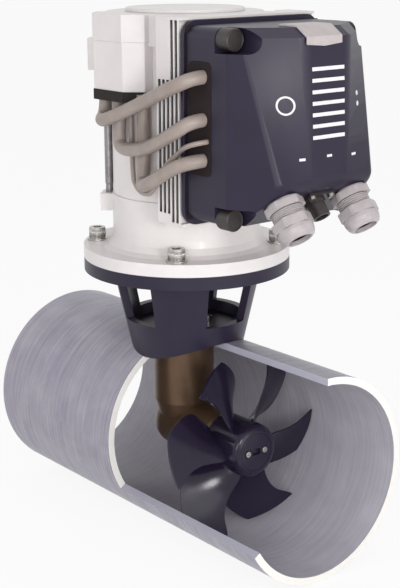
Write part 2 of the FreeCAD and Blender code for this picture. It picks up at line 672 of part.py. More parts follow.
def makeMotorFlange():
    profile = turned("flange_turned", [
        ("motorShaftRadius + 4", "plateTop"), ("plateRadius", "plateTop"), ("plateRadius", "flangeTop"),
        ("neckRadius + neckFlare", "flangeTop"),
        ("neckRadius + neckFlare * 0.45", "flangeTop + neckFlare * 0.22"),
        ("neckRadius + neckFlare * 0.12", "flangeTop + neckFlare * 0.7"),
        ("neckRadius", "flangeTop + neckFlare * 1.4"), ("neckRadius", "neckTop"),
        ("neckInner", "neckTop"), ("neckInner", "floorLevel"),
        ("motorBearing + fitGap", "floorLevel"),
        ("motorBearing + fitGap", "floorLevel - motorBearingWidth"),
        ("motorShaftRadius + 4", "floorLevel - motorBearingWidth")])
    lugs = []
    tools = []
    for index in range(4):
        lugs.append(spoke(f"low_lug_{index}", "neckInner + 1", "lowLugReach", "lugWidth", "lowLugBottom",
                          "lowLugTop", 45 + 90 * index))
    for index, (a, b) in enumerate(corners):
        at = (f"{a} * tieRodPitch", f"{b} * tieRodPitch")
        tools.append(rod(f"low_lug_hole_{index}", "tieRodThread + fitGap", "lowLugBottom + 3",
                         "lowLugTop + 1", at=at))
    for index, at in flangeBoltPlaces():
        tools.append(rod(f"flange_hole_{index}", "flangeBoltRadius + 0.3", "plateTop - 1",
                         "flangeTop + 1", at=at))
        tools.append(rod(f"flange_spot_{index}", "washerRadius + 0.6", "flangeTop", "flangeTop + 16",
                         at=at))
    cut("motor_flange", joined("flange_body", [profile] + lugs), *tools)


def makeFlangeBolts():
    screws = []
    washers = []
    for index, at in flangeBoltPlaces():
        seat = "flangeTop + washerThick"
        shank = rod(f"flange_bolt_shank_{index}", "flangeBoltRadius", "plateBottom + 0.5", seat, at=at)
        head = rod(f"flange_bolt_head_{index}", "flangeBoltHead", seat, seat + " + 11", at=at)
        socket = hexagon(f"flange_bolt_socket_{index}", "8", seat + " + 6", seat + " + 12")
        place(socket, at[0], at[1], seat + " + 6")
        body = joined(f"flange_bolt_body_{index}", [shank, head])
        screws.append(cut(f"flange_bolt_{index}", body, socket))
        disc = rod(f"washer_disc_{index}", "washerRadius", "flangeTop", seat, at=at)
        hole = rod(f"washer_hole_{index}", "flangeBoltRadius + 0.25", "flangeTop - 1", seat + " + 1",
                   at=at)
        washers.append(cut(f"washer_{index}", disc, hole))
    group("flange_bolts", screws)
    group("flange_washers", washers)


def makeStator():
    ring("stator_housing", "statorInner", "statorRadius", "neckTop", "statorTop")
    bore = "rotorRadius + coreGap"
    ring("stator_core", bore, "statorInner - fitGap", "coreLow", "coreHigh")
    low = ring("winding_low", bore + " + 3", "statorInner - 4", "coreLow - 12", "coreLow")
    high = ring("winding_high", bore + " + 3", "statorInner - 4", "coreHigh", "coreHigh + 12")
    group("stator_windings", [low, high])
    shell = "rotorRadius - magnetThick"
    ring("rotor_core", "motorShaftRadius + fitGap", shell, "coreLow", "coreHigh")
    magnets = []
    for index in range(8):
        magnets.append(sector(f"magnet_{index}", shell + " + fitGap", "rotorRadius", "coreLow + 2",
                              "coreHigh - 2", "40", 45 * index))
    group("rotor_magnets", magnets)


def coverOutline(edge):
    # the terminal cover's plan: a box with two cut corners on the -Y side
    out = f"coverFront + {edge}"
    half = f"{edge} * 0.414"
    back = "statorRadius * 0.6"
    right = f"coverRight + coverFacet + {edge}"
    left = f"-coverLeft - coverFacet - {edge}"
    side = f"-coverFront + coverFacet - {half}"
    return [(left, "-" + back), (left, side), (f"-coverLeft - {half}", f"-({out})"),
            (f"coverRight + {half}", f"-({out})"), (right, side), (right, "-" + back)]


def makeEndCap():
    profile = turned("cap_turned", [
        ("motorShaftRadius + 4", "statorTop + 4"), ("statorInner", "statorTop + 4"),
        ("statorInner", "statorTop"), ("endCapRadius", "statorTop"), ("endCapRadius", "endCapTop - 1.5"),
        ("endCapRadius - 1.5", "endCapTop"), ("lidRadius - 5", "endCapTop"),
        ("lidRadius - 5", "endCapTop - 5"), ("motorBearing + fitGap", "endCapTop - 5"),
        ("motorBearing + fitGap", "statorTop + 8"), ("motorShaftRadius + 4", "statorTop + 8")])
    front = prism("cap_front", "XY_Plane", coverOutline("0.6"), "coverTop", "endCapTop")
    hollow = rod("cap_front_hollow", "endCapRadius - 4", "coverTop - 1", "endCapTop + 1")
    parts = [profile, cut("cap_front_block", front, hollow)]
    tools = []
    for index in range(4):
        reach = "highLugReach" if index in (1, 2) else "lowLugReach"
        parts.append(spoke(f"high_lug_{index}", "statorRadius + seatGap", reach, "lugWidth",
                           "highLugBottom", "highLugTop", 45 + 90 * index))
    for index, (a, b) in enumerate(corners):
        at = (f"{a} * tieRodPitch", f"{b} * tieRodPitch")
        tools.append(rod(f"high_lug_hole_{index}", "tieRodRadius + fitGap", "highLugBottom - 1",
                         "highLugTop - 6", at=at))
    cut("top_end_cap", joined("cap_body", parts), *tools)
    turned("top_lid", [
        ("0", "endCapTop - 4.5"), ("lidRadius - 5.3", "endCapTop - 4.5"),
        ("lidRadius - 5.3", "endCapTop"), ("lidRadius", "endCapTop"), ("lidRadius", "lidTop - 1"),
        ("lidRadius - 1", "lidTop"), ("0", "lidTop")])


def makeTieRods():
    rods = []
    for index, (a, b) in enumerate(corners):
        x, y = f"{a} * tieRodPitch", f"{b} * tieRodPitch"
        rods.append(turned(f"tie_rod_{index}", [
            ("0", "lowLugBottom + 4"), ("tieRodThread", "lowLugBottom + 4"),
            ("tieRodThread", "lowLugTop + 8"), ("tieRodRadius", "lowLugTop + 9"),
            ("tieRodRadius", "highLugTop - 7"), ("0", "highLugTop - 7")], at=(x, y, "0")))
    group("tie_rods", rods)


# Each lead's height at the control box, and its route from under the terminal base
# to the front of the box's entry plate. It drops straight out of the base first.
leads = {
    "phase_lead_1": (368, [(-21.7, -78.7, 324.8), (-12.8, -92.9, 317.8), (13.3, -94.9, 325.5),
                           (45.9, -90.7, 338.7), (78.7, -93, 351.2), (108, -96.8, 361.2),
                           (120.5, -87.2, 368)]),
    "phase_lead_2": (331.3, [(-1.1, -79.4, 302), (6.9, -83.2, 294.1), (31.7, -87.5, 295.3),
                             (64.6, -92.4, 302.7), (107, -96.9, 321.5), (120.5, -90.6, 331.3)]),
    "phase_lead_3": (296, [(29.3, -73.4, 270.6), (36.5, -82.2, 262.6), (59.8, -93.5, 268.3),
                           (85.5, -94.2, 281.2), (105.9, -96.5, 290.8), (120.5, -87.6, 296)]),
    "sensor_lead": (313, [(11.5, -74.5, 268.5), (19.9, -75.9, 257.7), (35.8, -79.6, 254.3),
                          (53.7, -83, 258), (72.8, -83.3, 286.3), (94.1, -83.8, 300.1),
                          (112.2, -90.9, 308.5), (126.5, -86.2, 313)]),
}


def leadSizes(name):
    # the radius of a lead and the place along the box where it enters
    if name == "sensor_lead":
        return "thinRadius", "thinEntry"
    return "leadRadius", "leadEntry"


def leadWire(points):
    # straight runs joined by tangent arcs, each as large as its two runs allow
    runs = [(b - a).Length for a, b in zip(points, points[1:])]
    edges = []
    radii = []
    begin = points[0]
    for index in range(1, len(points) - 1):
        back = (points[index - 1] - points[index]).normalize()
        ahead = (points[index + 1] - points[index]).normalize()
        turn = math.pi - back.getAngle(ahead)
        span = 0.45 * min(runs[index - 1], runs[index])
        radius = span / math.tan(turn / 2)
        start = points[index] + back * span
        end = points[index] + ahead * span
        towards = (back + ahead).normalize()
        middle = points[index] + towards * (radius / math.cos(turn / 2) - radius)
        edges.append(Part.LineSegment(begin, start).toShape())
        edges.append(Part.Arc(start, middle, end).toShape())
        radii.append(round(radius, 1))
        begin = end
    edges.append(Part.LineSegment(begin, points[-1]).toShape())
    return Part.Wire(edges), radii


def makeLeads():
    for name, (level, route) in leads.items():
        radius, entry = map(number, leadSizes(name))
        points = [Vector(*point) for point in route]
        points.insert(0, Vector(points[0].x, points[0].y, number("leadTop")))
        points.append(Vector(entry, number("leadEnd"), level))
        wire, radii = leadWire(points)
        circle = Part.Wire([Part.makeCircle(radius, points[0], points[1] - points[0])])
        tube = wire.makePipeShell([circle], True, False)
        expected = math.pi * radius ** 2 * wire.Length
        print(name, "length", round(wire.Length, 1), "radii", radii,
              "volume share", round(tube.Volume / expected, 4))
        solid(name, tube)


def makeTerminalCover():
    low = "coverLow"
    outer = prism("cover_outer", "XY_Plane", coverOutline("0"), low, "coverTop")
    inner = prism("cover_inner", "XY_Plane", coverOutline("-coverWall"), low + " - 1",
                  "coverTop - coverWall")
    motor = rod("cover_motor", "statorRadius + bondGap", "baseLow - 1", "coverTop + 1")
    capRing = rod("cover_cap_room", "endCapRadius + bondGap", "statorTop - 0.1", "coverTop + 1")
    cut("terminal_cover", outer, inner, motor, capRing)
    base = prism("base_outer", "XY_Plane", coverOutline("0.8"), "baseLow", low)
    wing = block("base_wing", ("0", "coverRight + coverFacet + baseEdge"),
                 ("-coverFront + coverFacet", "-statorRadius * 0.6"), ("baseLow", low))
    room = rod("base_motor", "statorRadius + bondGap", "baseLow - 1", low + " + 1")
    tools = [room]
    for name, (level, route) in leads.items():
        at = (str(route[0][0]), str(route[0][1]))
        tools.append(rod(name + "_hole", leadSizes(name)[0] + " + leadGap", "baseLow - 1", "leadTop", at=at))
    cut("terminal_base", joined("base_body", [base, wing]), *tools)


def makeHeatSink():
    slab = block("sink_slab", ("sinkLeft", "sinkFace"), ("-sinkHalf", "sinkHalf"),
                 ("sinkBottom", "endCapTop"))
    tools = [
        rod("sink_neck", "neckRadius + seatGap", "sinkBottom - 1", "neckTop + 0.2"),
        rod("sink_stator", "statorRadius + bondGap", "neckTop", "statorTop"),
        rod("sink_cap", "endCapRadius + seatGap", "statorTop - 0.2", "endCapTop + 1"),
    ]
    for index in (0, 3):
        tools.append(spoke(f"sink_pocket_{index}", "statorRadius - 2", "lowLugReach + 1",
                           "lugWidth + 2", "sinkBottom - 1", "endCapTop + 1", 45 + 90 * index))
    for index in range(6):
        middle = f"slotFirst + finPitch * {index}"
        low = "neckTop - 1.5" if index < 3 else "sinkBottom + 3"
        high = "blockBottom" if index < 3 else "endCapTop - 2.5"
        wide = (f"{middle} - slotWidth / 2", f"{middle} + slotWidth / 2")
        tools.append(block(f"slot_left_{index}", wide, ("-sinkHalf - 1", "-sinkHalf + slotDepth"),
                           (low, high)))
        tools.append(block(f"slot_right_{index}", wide, ("sinkHalf - slotDepth", "sinkHalf + 1"),
                           (low, high)))
    cut("heat_sink", slab, *tools)


def edgeStep(edge):
    return edge.Vertexes[-1].Point - edge.Vertexes[0].Point


def alongXEdge(edge):
    step = edgeStep(edge)
    return abs(step.x) > 1e-6 and abs(step.y) < 1e-6 and abs(step.z) < 1e-6


def longEdge(edge):
    # an edge that runs from the back towards the front, level or rising
    step = edgeStep(edge)
    return abs(step.x) > 1 and abs(step.y) < 0.01


def alongYEdge(edge):
    step = edgeStep(edge)
    return abs(step.y) > 1e-6 and abs(step.x) < 1e-6 and abs(step.z) < 1e-6


def makeBoxBase():
    plate = block("rim_plate", ("sinkFace", "rimFace"), ("-rimHalf", "rimHalf"), ("rimBottom", "rimTop"))
    roundEdges("control_box_base", plate, "rimRound", alongXEdge)
    outer = block("gasket_outer", ("rimFace", "boxBack"), ("-boxHalf", "boxHalf"),
                  ("boxBottom", "boxTop"))
    inner = block("gasket_inner", ("rimFace - 1", "boxBack + 1"),
                  ("-boxHalf + gasketWidth", "boxHalf - gasketWidth"),
                  ("boxBottom + gasketWidth", "boxTop - gasketWidth"))
    cut("box_gasket", outer, inner)


def boxPlan(level, inset, back, shift="0"):
    # the box's plan at a level: as it rises, its front corners move back and apart
    rise = f"(({level}) - panelFoot) / (panelHead - panelFoot)"
    foot = "(boxFront - cornerStep)"
    cornerX = f"{foot} - ({foot} - headFront) * {rise} - {inset} - {shift}"
    cornerY = f"boxHalf - footInset + (footInset - headInset) * {rise} - {inset} * 0.6"
    ridgeX = f"boxFront - (boxFront - ridgeHead) * {rise} - {inset} - {shift}"
    ridgeY = f"ridgeFootHalf + (ridgeHeadHalf - ridgeFootHalf) * {rise} - {inset} * 0.2"
    sideX = f"sideFront - {inset} * 0.25 - {shift}"
    half = f"boxHalf - {inset}"
    left = [(back, f"-({half})"), (sideX, f"-({half})"), (cornerX, f"-({cornerY})"),
            (ridgeX, f"-({ridgeY})")]
    right = [(ridgeX, ridgeY), (cornerX, cornerY), (sideX, half), (back, half)]
    return left + right


def boxStage(name, lower, upper, bottom, top):
    # a ruled body between two plans
    body = doc.addObject("PartDesign::Body", name)
    low = outline(body, name + "_low", "XY_Plane", lower)
    high = outline(body, name + "_high", "XY_Plane", upper)
    bind(high, "AttachmentOffset.Base.z", f"({top}) - ({bottom})")
    loft = body.newObject("PartDesign::AdditiveLoft", name + "_loft")
    loft.Profile = low
    loft.Sections = [high]
    loft.Ruled = True
    body.Tip = loft
    return place(body, z=bottom)


def boxLoft(name, inset, back):
    # the front leans back a little up to the brim, and faster above it
    brim = f"brimLow - {inset}"
    plan = boxPlan(brim, inset, back)
    stages = [boxStage(name + "_wall", boxPlan("boxBottom", inset, back), plan, "boxBottom", brim),
              boxStage(name + "_brim", plan, boxPlan(brim, inset, back, "brimDepth"), brim, "boxTop")]
    whole = joined(name, stages)
    whole.Refine = True
    return whole


def boxSide(name, inset, back):
    # the box's outline seen from the side, extruded across it, its long edges rounded
    reach = f"boxFront + 30 - {inset}"
    low = f"boxBottom + {inset}"
    high = f"boxTop - {inset}"
    start = f"slopeStart - {inset} * tan(slopeAngle / 2)"
    points = [(back, low), (start, low), (reach, f"{low} + ({reach} - ({start})) * tan(slopeAngle)"),
              (reach, high), (back, high)]
    blank = prism(name + "_blank", "XZ_Plane", points, f"-(boxHalf - {inset})", f"boxHalf - {inset}")
    return roundEdges(name, blank, f"boxRound - {inset}", longEdge)


def knobPlaces():
    for side in (-1, 1):
        for name, level in (("high", "knobHigh"), ("low", "knobLow")):
            yield f"{name}_{side + 1}", side, level


def pocket(name, side, level, grow, start):
    radius = f"pocketRadius + {grow}"
    end = rod(name + "_end", radius, start, "boxFront + 20", "X", (f"{side} * knobSide", level))
    near, far = f"{side} * knobSide", f"{side} * (boxHalf + 12)"
    across = (near, far) if side > 0 else (far, near)
    slot = block(name + "_slot", (start, "boxFront + 20"), across,
                 (f"{level} - ({radius})", f"{level} + {radius}"))
    return joined(name, [end, slot])


def onSlope(item, along, side, out):
    # stands a piece made along Z on the box's lower sloping face, pointing outwards
    item.Placement = Placement(Vector(), Rotation(Vector(0, 1, 0), 180 - number("slopeAngle")))
    x = f"slopeStart + ({along}) * cos(slopeAngle) + ({out}) * sin(slopeAngle)"
    z = f"boxBottom + ({along}) * sin(slopeAngle) - ({out}) * cos(slopeAngle)"
    return place(item, x, side, z, item.Placement.Rotation)


def makeBoxCover():
    outer = shared("box_outer", [boxLoft("box_loft", "0", "boxBack"), boxSide("box_side", "0", "boxBack")])
    room = shared("box_room", [boxLoft("room_loft", "boxWall", "boxBack - 1"),
                               boxSide("room_side", "boxWall", "boxBack - 1")])
    bosses = []
    tools = []
    for name, side, level in knobPlaces():
        bosses.append(pocket("boss_" + name, side, level, "boxWall", "pocketFloor - boxWall"))
        tools.append(pocket("pocket_" + name, side, level, "0", "pocketFloor"))
        tools.append(rod("stud_hole_" + name, "studRadius + 0.2", "boxBack", "pocketFloor + 1", "X",
                         (f"{side} * knobSide", level)))
    cavity = cut("box_cavity", room, *bosses)
    opening = block("entry_opening_blank", ("entryLeft", "entryRight"), ("-boxHalf - 2", "-boxHalf + 8"),
                    ("entryLow", "entryHigh"))
    tools.append(roundEdges("entry_opening", opening, "entryRound", alongYEdge))
    for side in (-1, 1):
        hole = rod(f"gland_hole_{side + 1}", "glandEntry + fitGap", "0", "12")
        tools.append(onSlope(hole, "glandAlong", f"{side} * glandSide", "-9"))
    hole = rod("plug_hole", "plugRadius - 1 + fitGap", "0", "12")
    tools.append(onSlope(hole, "plugAlong", "0", "-9"))
    cut("control_box_cover", outer, cavity, *tools)


def makeKnobs():
    knobs = []
    studs = []
    for name, side, level in knobPlaces():
        at = (f"{side} * knobSide", level)
        end = "pocketFloor + knobLength"
        body = turned("knob_body_" + name, [
            ("0", "pocketFloor"), ("knobRadius", "pocketFloor"), ("knobRadius", end + " - 1"),
            ("knobRadius - 1", end), ("0", end)], "X", ("0",) + at)
        hole = rod("knob_hole_" + name, "studRadius + fitGap", "pocketFloor - 1", "pocketFloor + 6",
                   "X", at)
        dish = rod("knob_dish_" + name, "knobRadius - 1.8", end + " - 0.8", end + " + 1", "X", at)
        knobs.append(cut("knob_" + name, body, hole, dish))
        studs.append(rod("stud_" + name, "studRadius", "rimFace", "pocketFloor + 5.5", "X", at))
    group("cover_knobs", knobs)
    group("cover_studs", studs)


def makeBadge():
    # a blank trim piece that lies on the brim and folds over it at the top and the front
    lean = "(boxFront - ridgeHead) / (panelHead - panelFoot)"
    top = f"boxFront - {lean} * (brimLow - panelFoot) - brimDepth"
    corner = f"boxFront - {lean} * (brimLow - panelFoot)"
    foot = "brimLow - badgeLip"
    heel = f"boxFront - {lean} * ({foot} - panelFoot)"
    fall = "badgeThick * tan(atan(brimDrop / brimDepth) / 2)"
    turn = "badgeThick * tan(atan(brimDepth / brimDrop) / 2)"
    side = prism("badge_side", "XZ_Plane", [
        (f"{top} - badgeBack", "boxTop"), (top, "boxTop"), (corner, "brimLow"), (heel, foot),
        (f"{heel} + badgeThick", foot), (f"{corner} + badgeThick", f"brimLow + {turn}"),
        (f"{top} + {fall}", "boxTop + badgeThick"), (f"{top} - badgeBack", "boxTop + badgeThick")],
        "badgeShift - badgeHalf", "badgeShift + badgeHalf")
    front = prism("badge_front", "YZ_Plane", [
        ("badgeShift - badgeHalf", f"{foot} + badgeSag"), ("badgeShift", foot),
        ("badgeShift + badgeHalf", f"{foot} + badgeSag"),
        ("badgeShift + badgeHalf", "boxTop + badgeThick + 1"),
        ("badgeShift - badgeHalf", "boxTop + badgeThick + 1")], "boxBack", "boxFront + 10")
    shared("badge_clip", [side, front])


def makeCableEntry():
    blank = block("entry_plate_blank", ("entryLeft + bondGap", "entryRight - bondGap"),
                  ("-boxHalf - entryProud", "-boxHalf + entryInset"),
                  ("entryLow + bondGap", "entryHigh - bondGap"))
    plate = roundEdges("entry_plate", blank, "entryRound - bondGap", alongYEdge)
    tools = []
    for name, (level, route) in leads.items():
        radius, entry = leadSizes(name)
        tools.append(rod(name + "_entry", radius + " + leadGap", "-boxHalf - 5", "-boxHalf + 10", "Y",
                         (entry, str(level))))
    cut("cable_entry_plate", plate, *tools)


def trimmedHex(name, low, high, turn):
    # a hexagon whose corners are turned down to a circle
    sharp = hexagon(name + "_hex", "glandFlats", low, high)
    place(sharp, z=low, turn=Rotation(Vector(0, 0, 1), turn))
    return shared(name, [sharp, rod(name + "_turned", "glandCorner", low, high)])


def makeGlands():
    hexTop = "glandPad + glandFlange"
    nutLow = hexTop + " + glandNeck"
    nutHigh = nutLow + " + domeLength"
    hexHigh = nutLow + " + domeHex"
    flats = "glandFlats"
    pieces = {"gland_bodies": [], "gland_domes": [], "gland_seals": [], "gland_locknuts": []}
    for side in (-1, 1):
        tag = str(side + 1)
        place_ = ("glandAlong", f"{side} * glandSide", "0")
        turn = 21 if side > 0 else 0
        flange = trimmedHex("gland_flange_" + tag, "glandPad", hexTop, turn)
        pad = rod("gland_pad_" + tag, "glandFlats / 2 - 0.5", "0", "glandPad")
        thread = rod("gland_thread_" + tag, "glandThread", hexTop, nutLow + " + 7")
        entry = rod("gland_entry_" + tag, "glandEntry", "-boxWall - locknutThick - 2", "0")
        bore = rod("gland_bore_" + tag, "glandBore", "-20", "40")
        body = cut("gland_body_" + tag,
                   joined("gland_solid_" + tag, [flange, pad, thread, entry]), bore)
        pieces["gland_bodies"].append(onSlope(body, *place_))
        hexPart = trimmedHex("dome_hex_" + tag, nutLow, hexHigh, 0)
        dome = turned("dome_end_" + tag, [
            ("0", hexHigh), (f"{flats} / 2", hexHigh), (f"{flats} / 2", hexHigh + " + 3.5"),
            (f"{flats} / 2 - 1", nutHigh + " - 3.8"), (f"{flats} / 2 - 2.4", nutHigh + " - 1.5"),
            (f"{flats} / 2 - 4.6", nutHigh), ("0", nutHigh)])
        room = rod("dome_room_" + tag, "glandThread + 0.1", nutLow + " - 1", nutHigh + " - 4")
        mouth = rod("dome_mouth_" + tag, "glandBore + 0.3", nutLow, nutHigh + " + 1")
        nut = cut("gland_dome_" + tag, joined("dome_solid_" + tag, [hexPart, dome]), room, mouth)
        pieces["gland_domes"].append(onSlope(nut, *place_))
        seal = ring("gland_seal_" + tag, "glandBore - 1", "glandThread - 0.2", nutLow + " + 7.1",
                    nutHigh + " - 4.1")
        pieces["gland_seals"].append(onSlope(seal, *place_))
        lock = cut("gland_locknut_" + tag,
                   hexagon("locknut_hex_" + tag, "glandEntry * 2 + 6", "-boxWall - locknutThick",
                           "-boxWall - 0.1"),
                   rod("locknut_bore_" + tag, "glandEntry + fitGap", "-20", "0"))
        pieces["gland_locknuts"].append(onSlope(lock, *place_))
    for name, parts in pieces.items():
        group(name, parts)


def makeConnector():
    flange = block("plug_flange", ("-plugRise", "plugRise"), ("-plugSide", "plugSide"),
                   ("0", "plugFlange"))
    barrel = rod("plug_barrel", "plugRadius", "plugFlange", "plugLength")
    collar = rod("plug_collar", "plugRadius + 1.5", "plugFlange", "plugFlange + 4")
    tail = rod("plug_tail", "plugRadius - 1", "-boxWall - 4", "0")
    tools = [rod("plug_bore", "plugRadius - 2", "plugLength - 9", "plugLength + 1")]
    screws = []
    for index, (a, b) in enumerate(corners):
        at = (f"{a} * plugScrewRise", f"{b} * plugScrewSide")
        tools.append(rod(f"plug_hole_{index}", "1.3", "-1", "plugFlange + 1", at=at))
        shank = rod(f"plug_screw_shank_{index}", "1.2", "0.2", "plugFlange", at=at)
        head = rod(f"plug_screw_head_{index}", "plugScrewRadius", "plugFlange", "plugFlange + 2.8",
                   at=at)
        slot = block(f"plug_screw_slot_{index}", (f"{at[0]} - 4", f"{at[0]} + 4"),
                     (f"{at[1]} - 0.4", f"{at[1]} + 0.4"), ("plugFlange + 1.8", "plugFlange + 4"))
        screw = cut(f"plug_screw_{index}", joined(f"plug_screw_body_{index}", [shank, head]), slot)
        screws.append(onSlope(screw, "plugAlong", "0", "0"))
    body = cut("signal_connector", joined("plug_body", [flange, barrel, collar, tail]), *tools)
    onSlope(body, "plugAlong", "0", "0")
    group("connector_screws", screws)


def makeElectronics():
    board = block("circuit_board", ("boardPlace", "boardPlace + boardThick"),
                  ("-boardHalf", "boardHalf"), ("boardLow", "boardHigh"))
    spacers = []
    for a in (-1, 1):
        for index, level in enumerate(("boardLow + 6", "boardHigh - 6")):
            spacers.append(rod(f"spacer_{a + 1}_{index}", "3", "rimFace", "boardPlace", "X",
                               (f"{a} * (boardHalf - 6)", level)))
    group("board_spacers", spacers)
    cans = []
    for row in range(2):
        for column in range(3):
            cans.append(rod(f"can_{row}_{column}", "canRadius", "boardPlace + boardThick",
                            "boardPlace + boardThick + canLength", "X",
                            (f"{column - 1} * (canRadius * 2 + 4)", f"boardLow + 50 + {row} * 30")))
    group("power_capacitors", cans)
    return board


def setSizes():
    for row, (name, value) in enumerate(sizes.items(), 1):
        sheet.set(f"A{row}", name)
        sheet.set(f"B{row}", str(value))
        sheet.setAlias(f"B{row}", name)
    doc.recompute()


def build():
    setSizes()
    makeTunnel()
    makeSaddle()
    makeLeg()
    makeGearcaseCap()
    makeLegBolts()
    makeBearings()
    makeShafts(makeGears())
    makeCoupling()
    makePropeller()
    makeMotorFlange()
    makeFlangeBolts()
    makeStator()
    makeEndCap()
    makeTieRods()
    makeTerminalCover()
    makeHeatSink()
    makeBoxBase()
    makeBoxCover()
    makeKnobs()
    makeBadge()
    makeCableEntry()
    makeGlands()
    makeConnector()
    makeElectronics()
    makeLeads()
    doc.recompute()


nodes = [
    "tunnel_tube", "saddle_bracket", "leg_housing", "gearcase_cap", "gearcase_screws", "leg_bolts",
    "leg_lower_bearing", "leg_upper_bearing", "leg_shaft_seal", "prop_rear_bearing",
    "prop_front_bearing", "prop_shaft_seal", "motor_lower_bearing", "motor_upper_bearing",
    "bevel_pinion", "bevel_wheel", "drive_shaft", "prop_shaft", "motor_shaft",
    "coupling_lower_half", "coupling_upper_half", "coupling_spider", "propeller", "hub_cap",
    "hub_cap_screws", "motor_flange", "flange_bolts", "flange_washers", "stator_housing",
    "stator_core", "stator_windings", "rotor_core", "rotor_magnets", "top_end_cap", "top_lid",
    "tie_rods", "terminal_cover", "terminal_base", "heat_sink", "control_box_base", "box_gasket",
    "control_box_cover", "cover_knobs", "cover_studs", "badge_clip", "cable_entry_plate",
    "gland_bodies", "gland_domes", "gland_seals", "gland_locknuts", "signal_connector",
    "connector_screws", "circuit_board", "board_spacers", "power_capacitors",
    "phase_lead_1", "phase_lead_2", "phase_lead_3", "sensor_lead",
]

build()
failed = [item.Label for item in doc.Objects if {"Invalid", "Error"} & set(item.State)]
if failed:
    raise RuntimeError("objects that failed: " + ", ".join(failed))
for name in nodes:
    item = doc.getObject(name)
    shape = item.Shape
    if shape.isNull() or not shape.isValid():
        raise RuntimeError("bad shape: " + name)
for name in nodes:
    doc.getObject(name).Shape.exportStep("parts/" + name + ".step")
    shape = doc.getObject(name).Shape
    box = shape.BoundBox
    print(name, len(shape.Solids), "solids", round(shape.Volume), "mm3",
          [round(value, 1) for value in (box.XMin, box.XMax, box.YMin, box.YMax, box.ZMin, box.ZMax)])
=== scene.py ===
import json
import math

import bmesh
import bpy
from mathutils import Matrix, Vector
from mathutils.bvhtree import BVHTree


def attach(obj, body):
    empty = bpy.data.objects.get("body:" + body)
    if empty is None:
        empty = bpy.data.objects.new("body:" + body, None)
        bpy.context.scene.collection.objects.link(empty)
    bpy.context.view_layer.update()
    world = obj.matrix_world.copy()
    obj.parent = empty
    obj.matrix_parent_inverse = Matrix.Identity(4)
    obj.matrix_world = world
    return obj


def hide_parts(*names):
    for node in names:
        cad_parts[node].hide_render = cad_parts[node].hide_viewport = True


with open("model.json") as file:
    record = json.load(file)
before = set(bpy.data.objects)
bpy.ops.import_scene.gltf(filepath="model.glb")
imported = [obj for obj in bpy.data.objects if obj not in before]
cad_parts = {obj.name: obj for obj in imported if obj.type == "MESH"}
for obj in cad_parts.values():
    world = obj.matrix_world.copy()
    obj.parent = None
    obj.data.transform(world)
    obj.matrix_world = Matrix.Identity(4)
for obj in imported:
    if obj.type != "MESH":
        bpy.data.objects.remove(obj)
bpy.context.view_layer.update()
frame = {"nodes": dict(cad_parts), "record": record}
scene = bpy.context.scene
mm = 0.001   # metres
slotOf = {part["node"]: part["material_slot"] for part in frame["record"]["subparts"]}
bodyOf = {node: body for body, names in frame["record"]["behaviour"]["bodies"].items()
          for node in names}


def hexColor(text):
    # sRGB hex to the linear colour that a shader expects
    values = [int(text[i:i + 2], 16) / 255 for i in (1, 3, 5)]
    linear = [v / 12.92 if v <= 0.04045 else ((v + 0.055) / 1.055) ** 2.4 for v in values]
    return (*linear, 1.0)


def addNode(tree, kind, settings=None, links=None):
    # one node, its settings, and what its inputs come from
    node = tree.nodes.new(kind)
    for key, value in (settings or {}).items():
        if isinstance(key, str) and hasattr(node, key):
            setattr(node, key, value)
        else:
            node.inputs[key].default_value = value
    for key, source in (links or {}).items():
        tree.links.new(source, node.inputs[key])
    return node


def mathNode(tree, operation, *inputs):
    # each input is a number or another node's output
    settings, links = {"operation": operation}, {}
    for i, value in enumerate(inputs):
        (settings if isinstance(value, (int, float)) else links)[i] = value
    return addNode(tree, "ShaderNodeMath", settings, links).outputs[0]


def mixColors(tree, share, first, second):
    # each colour is hex text or another node's output
    settings, links = {"data_type": "RGBA"}, {0: share}
    for key, color in ((6, first), (7, second)):
        if isinstance(color, str):
            settings[key] = hexColor(color)
        else:
            links[key] = color
    return addNode(tree, "ShaderNodeMix", settings, links).outputs[2]


def noiseNode(tree, place, scale, detail, roughness=0.5):
    return addNode(tree, "ShaderNodeTexNoise", {
        "Scale": scale, "Detail": detail, "Roughness": roughness}, {"Vector": place}).outputs[0]


def rangeNode(tree, source, given, wanted=(0, 1)):
    # maps the given range onto the wanted one
    return addNode(tree, "ShaderNodeMapRange", {
        1: given[0], 2: given[1], 3: wanted[0], 4: wanted[1]}, {0: source}).outputs[0]


def bumpNode(tree, height, strength, depth):
    return addNode(tree, "ShaderNodeBump", {"Strength": strength, "Distance": depth * mm},
                   {"Height": height}).outputs[0]


def wireShader(tree, shader, color, rough, normal):
    for key, source in (("Base Color", color), ("Roughness", rough), ("Normal", normal)):
        tree.links.new(source, shader.inputs[key])


def newMaterial(name):
    material = bpy.data.materials.new(name)
    material.use_nodes = True
    tree = material.node_tree
    tree.nodes.clear()
    shader = addNode(tree, "ShaderNodeBsdfPrincipled")
    addNode(tree, "ShaderNodeOutputMaterial", links={"Surface": shader.outputs[0]})
    return material, tree, shader


def addPiece(name, data, body, material):
    piece = bpy.data.objects.new(name, data)
    scene.collection.objects.link(piece)
    data.materials.clear()
    data.materials.append(material)
    if piece.type == "MESH":
        data.shade_smooth()
    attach(piece, body)
    return piece


view = {
    "azimuth": 50.616, "elevation": 15.177, "roll": -0.294,   # degrees
    "target": (0, 16.592, 134.508), "distance": 1327.348,     # mm
    "lens": 80.207, "sensor": 36,                             # mm
    "clip": (0.05, 300),                                      # metres
}


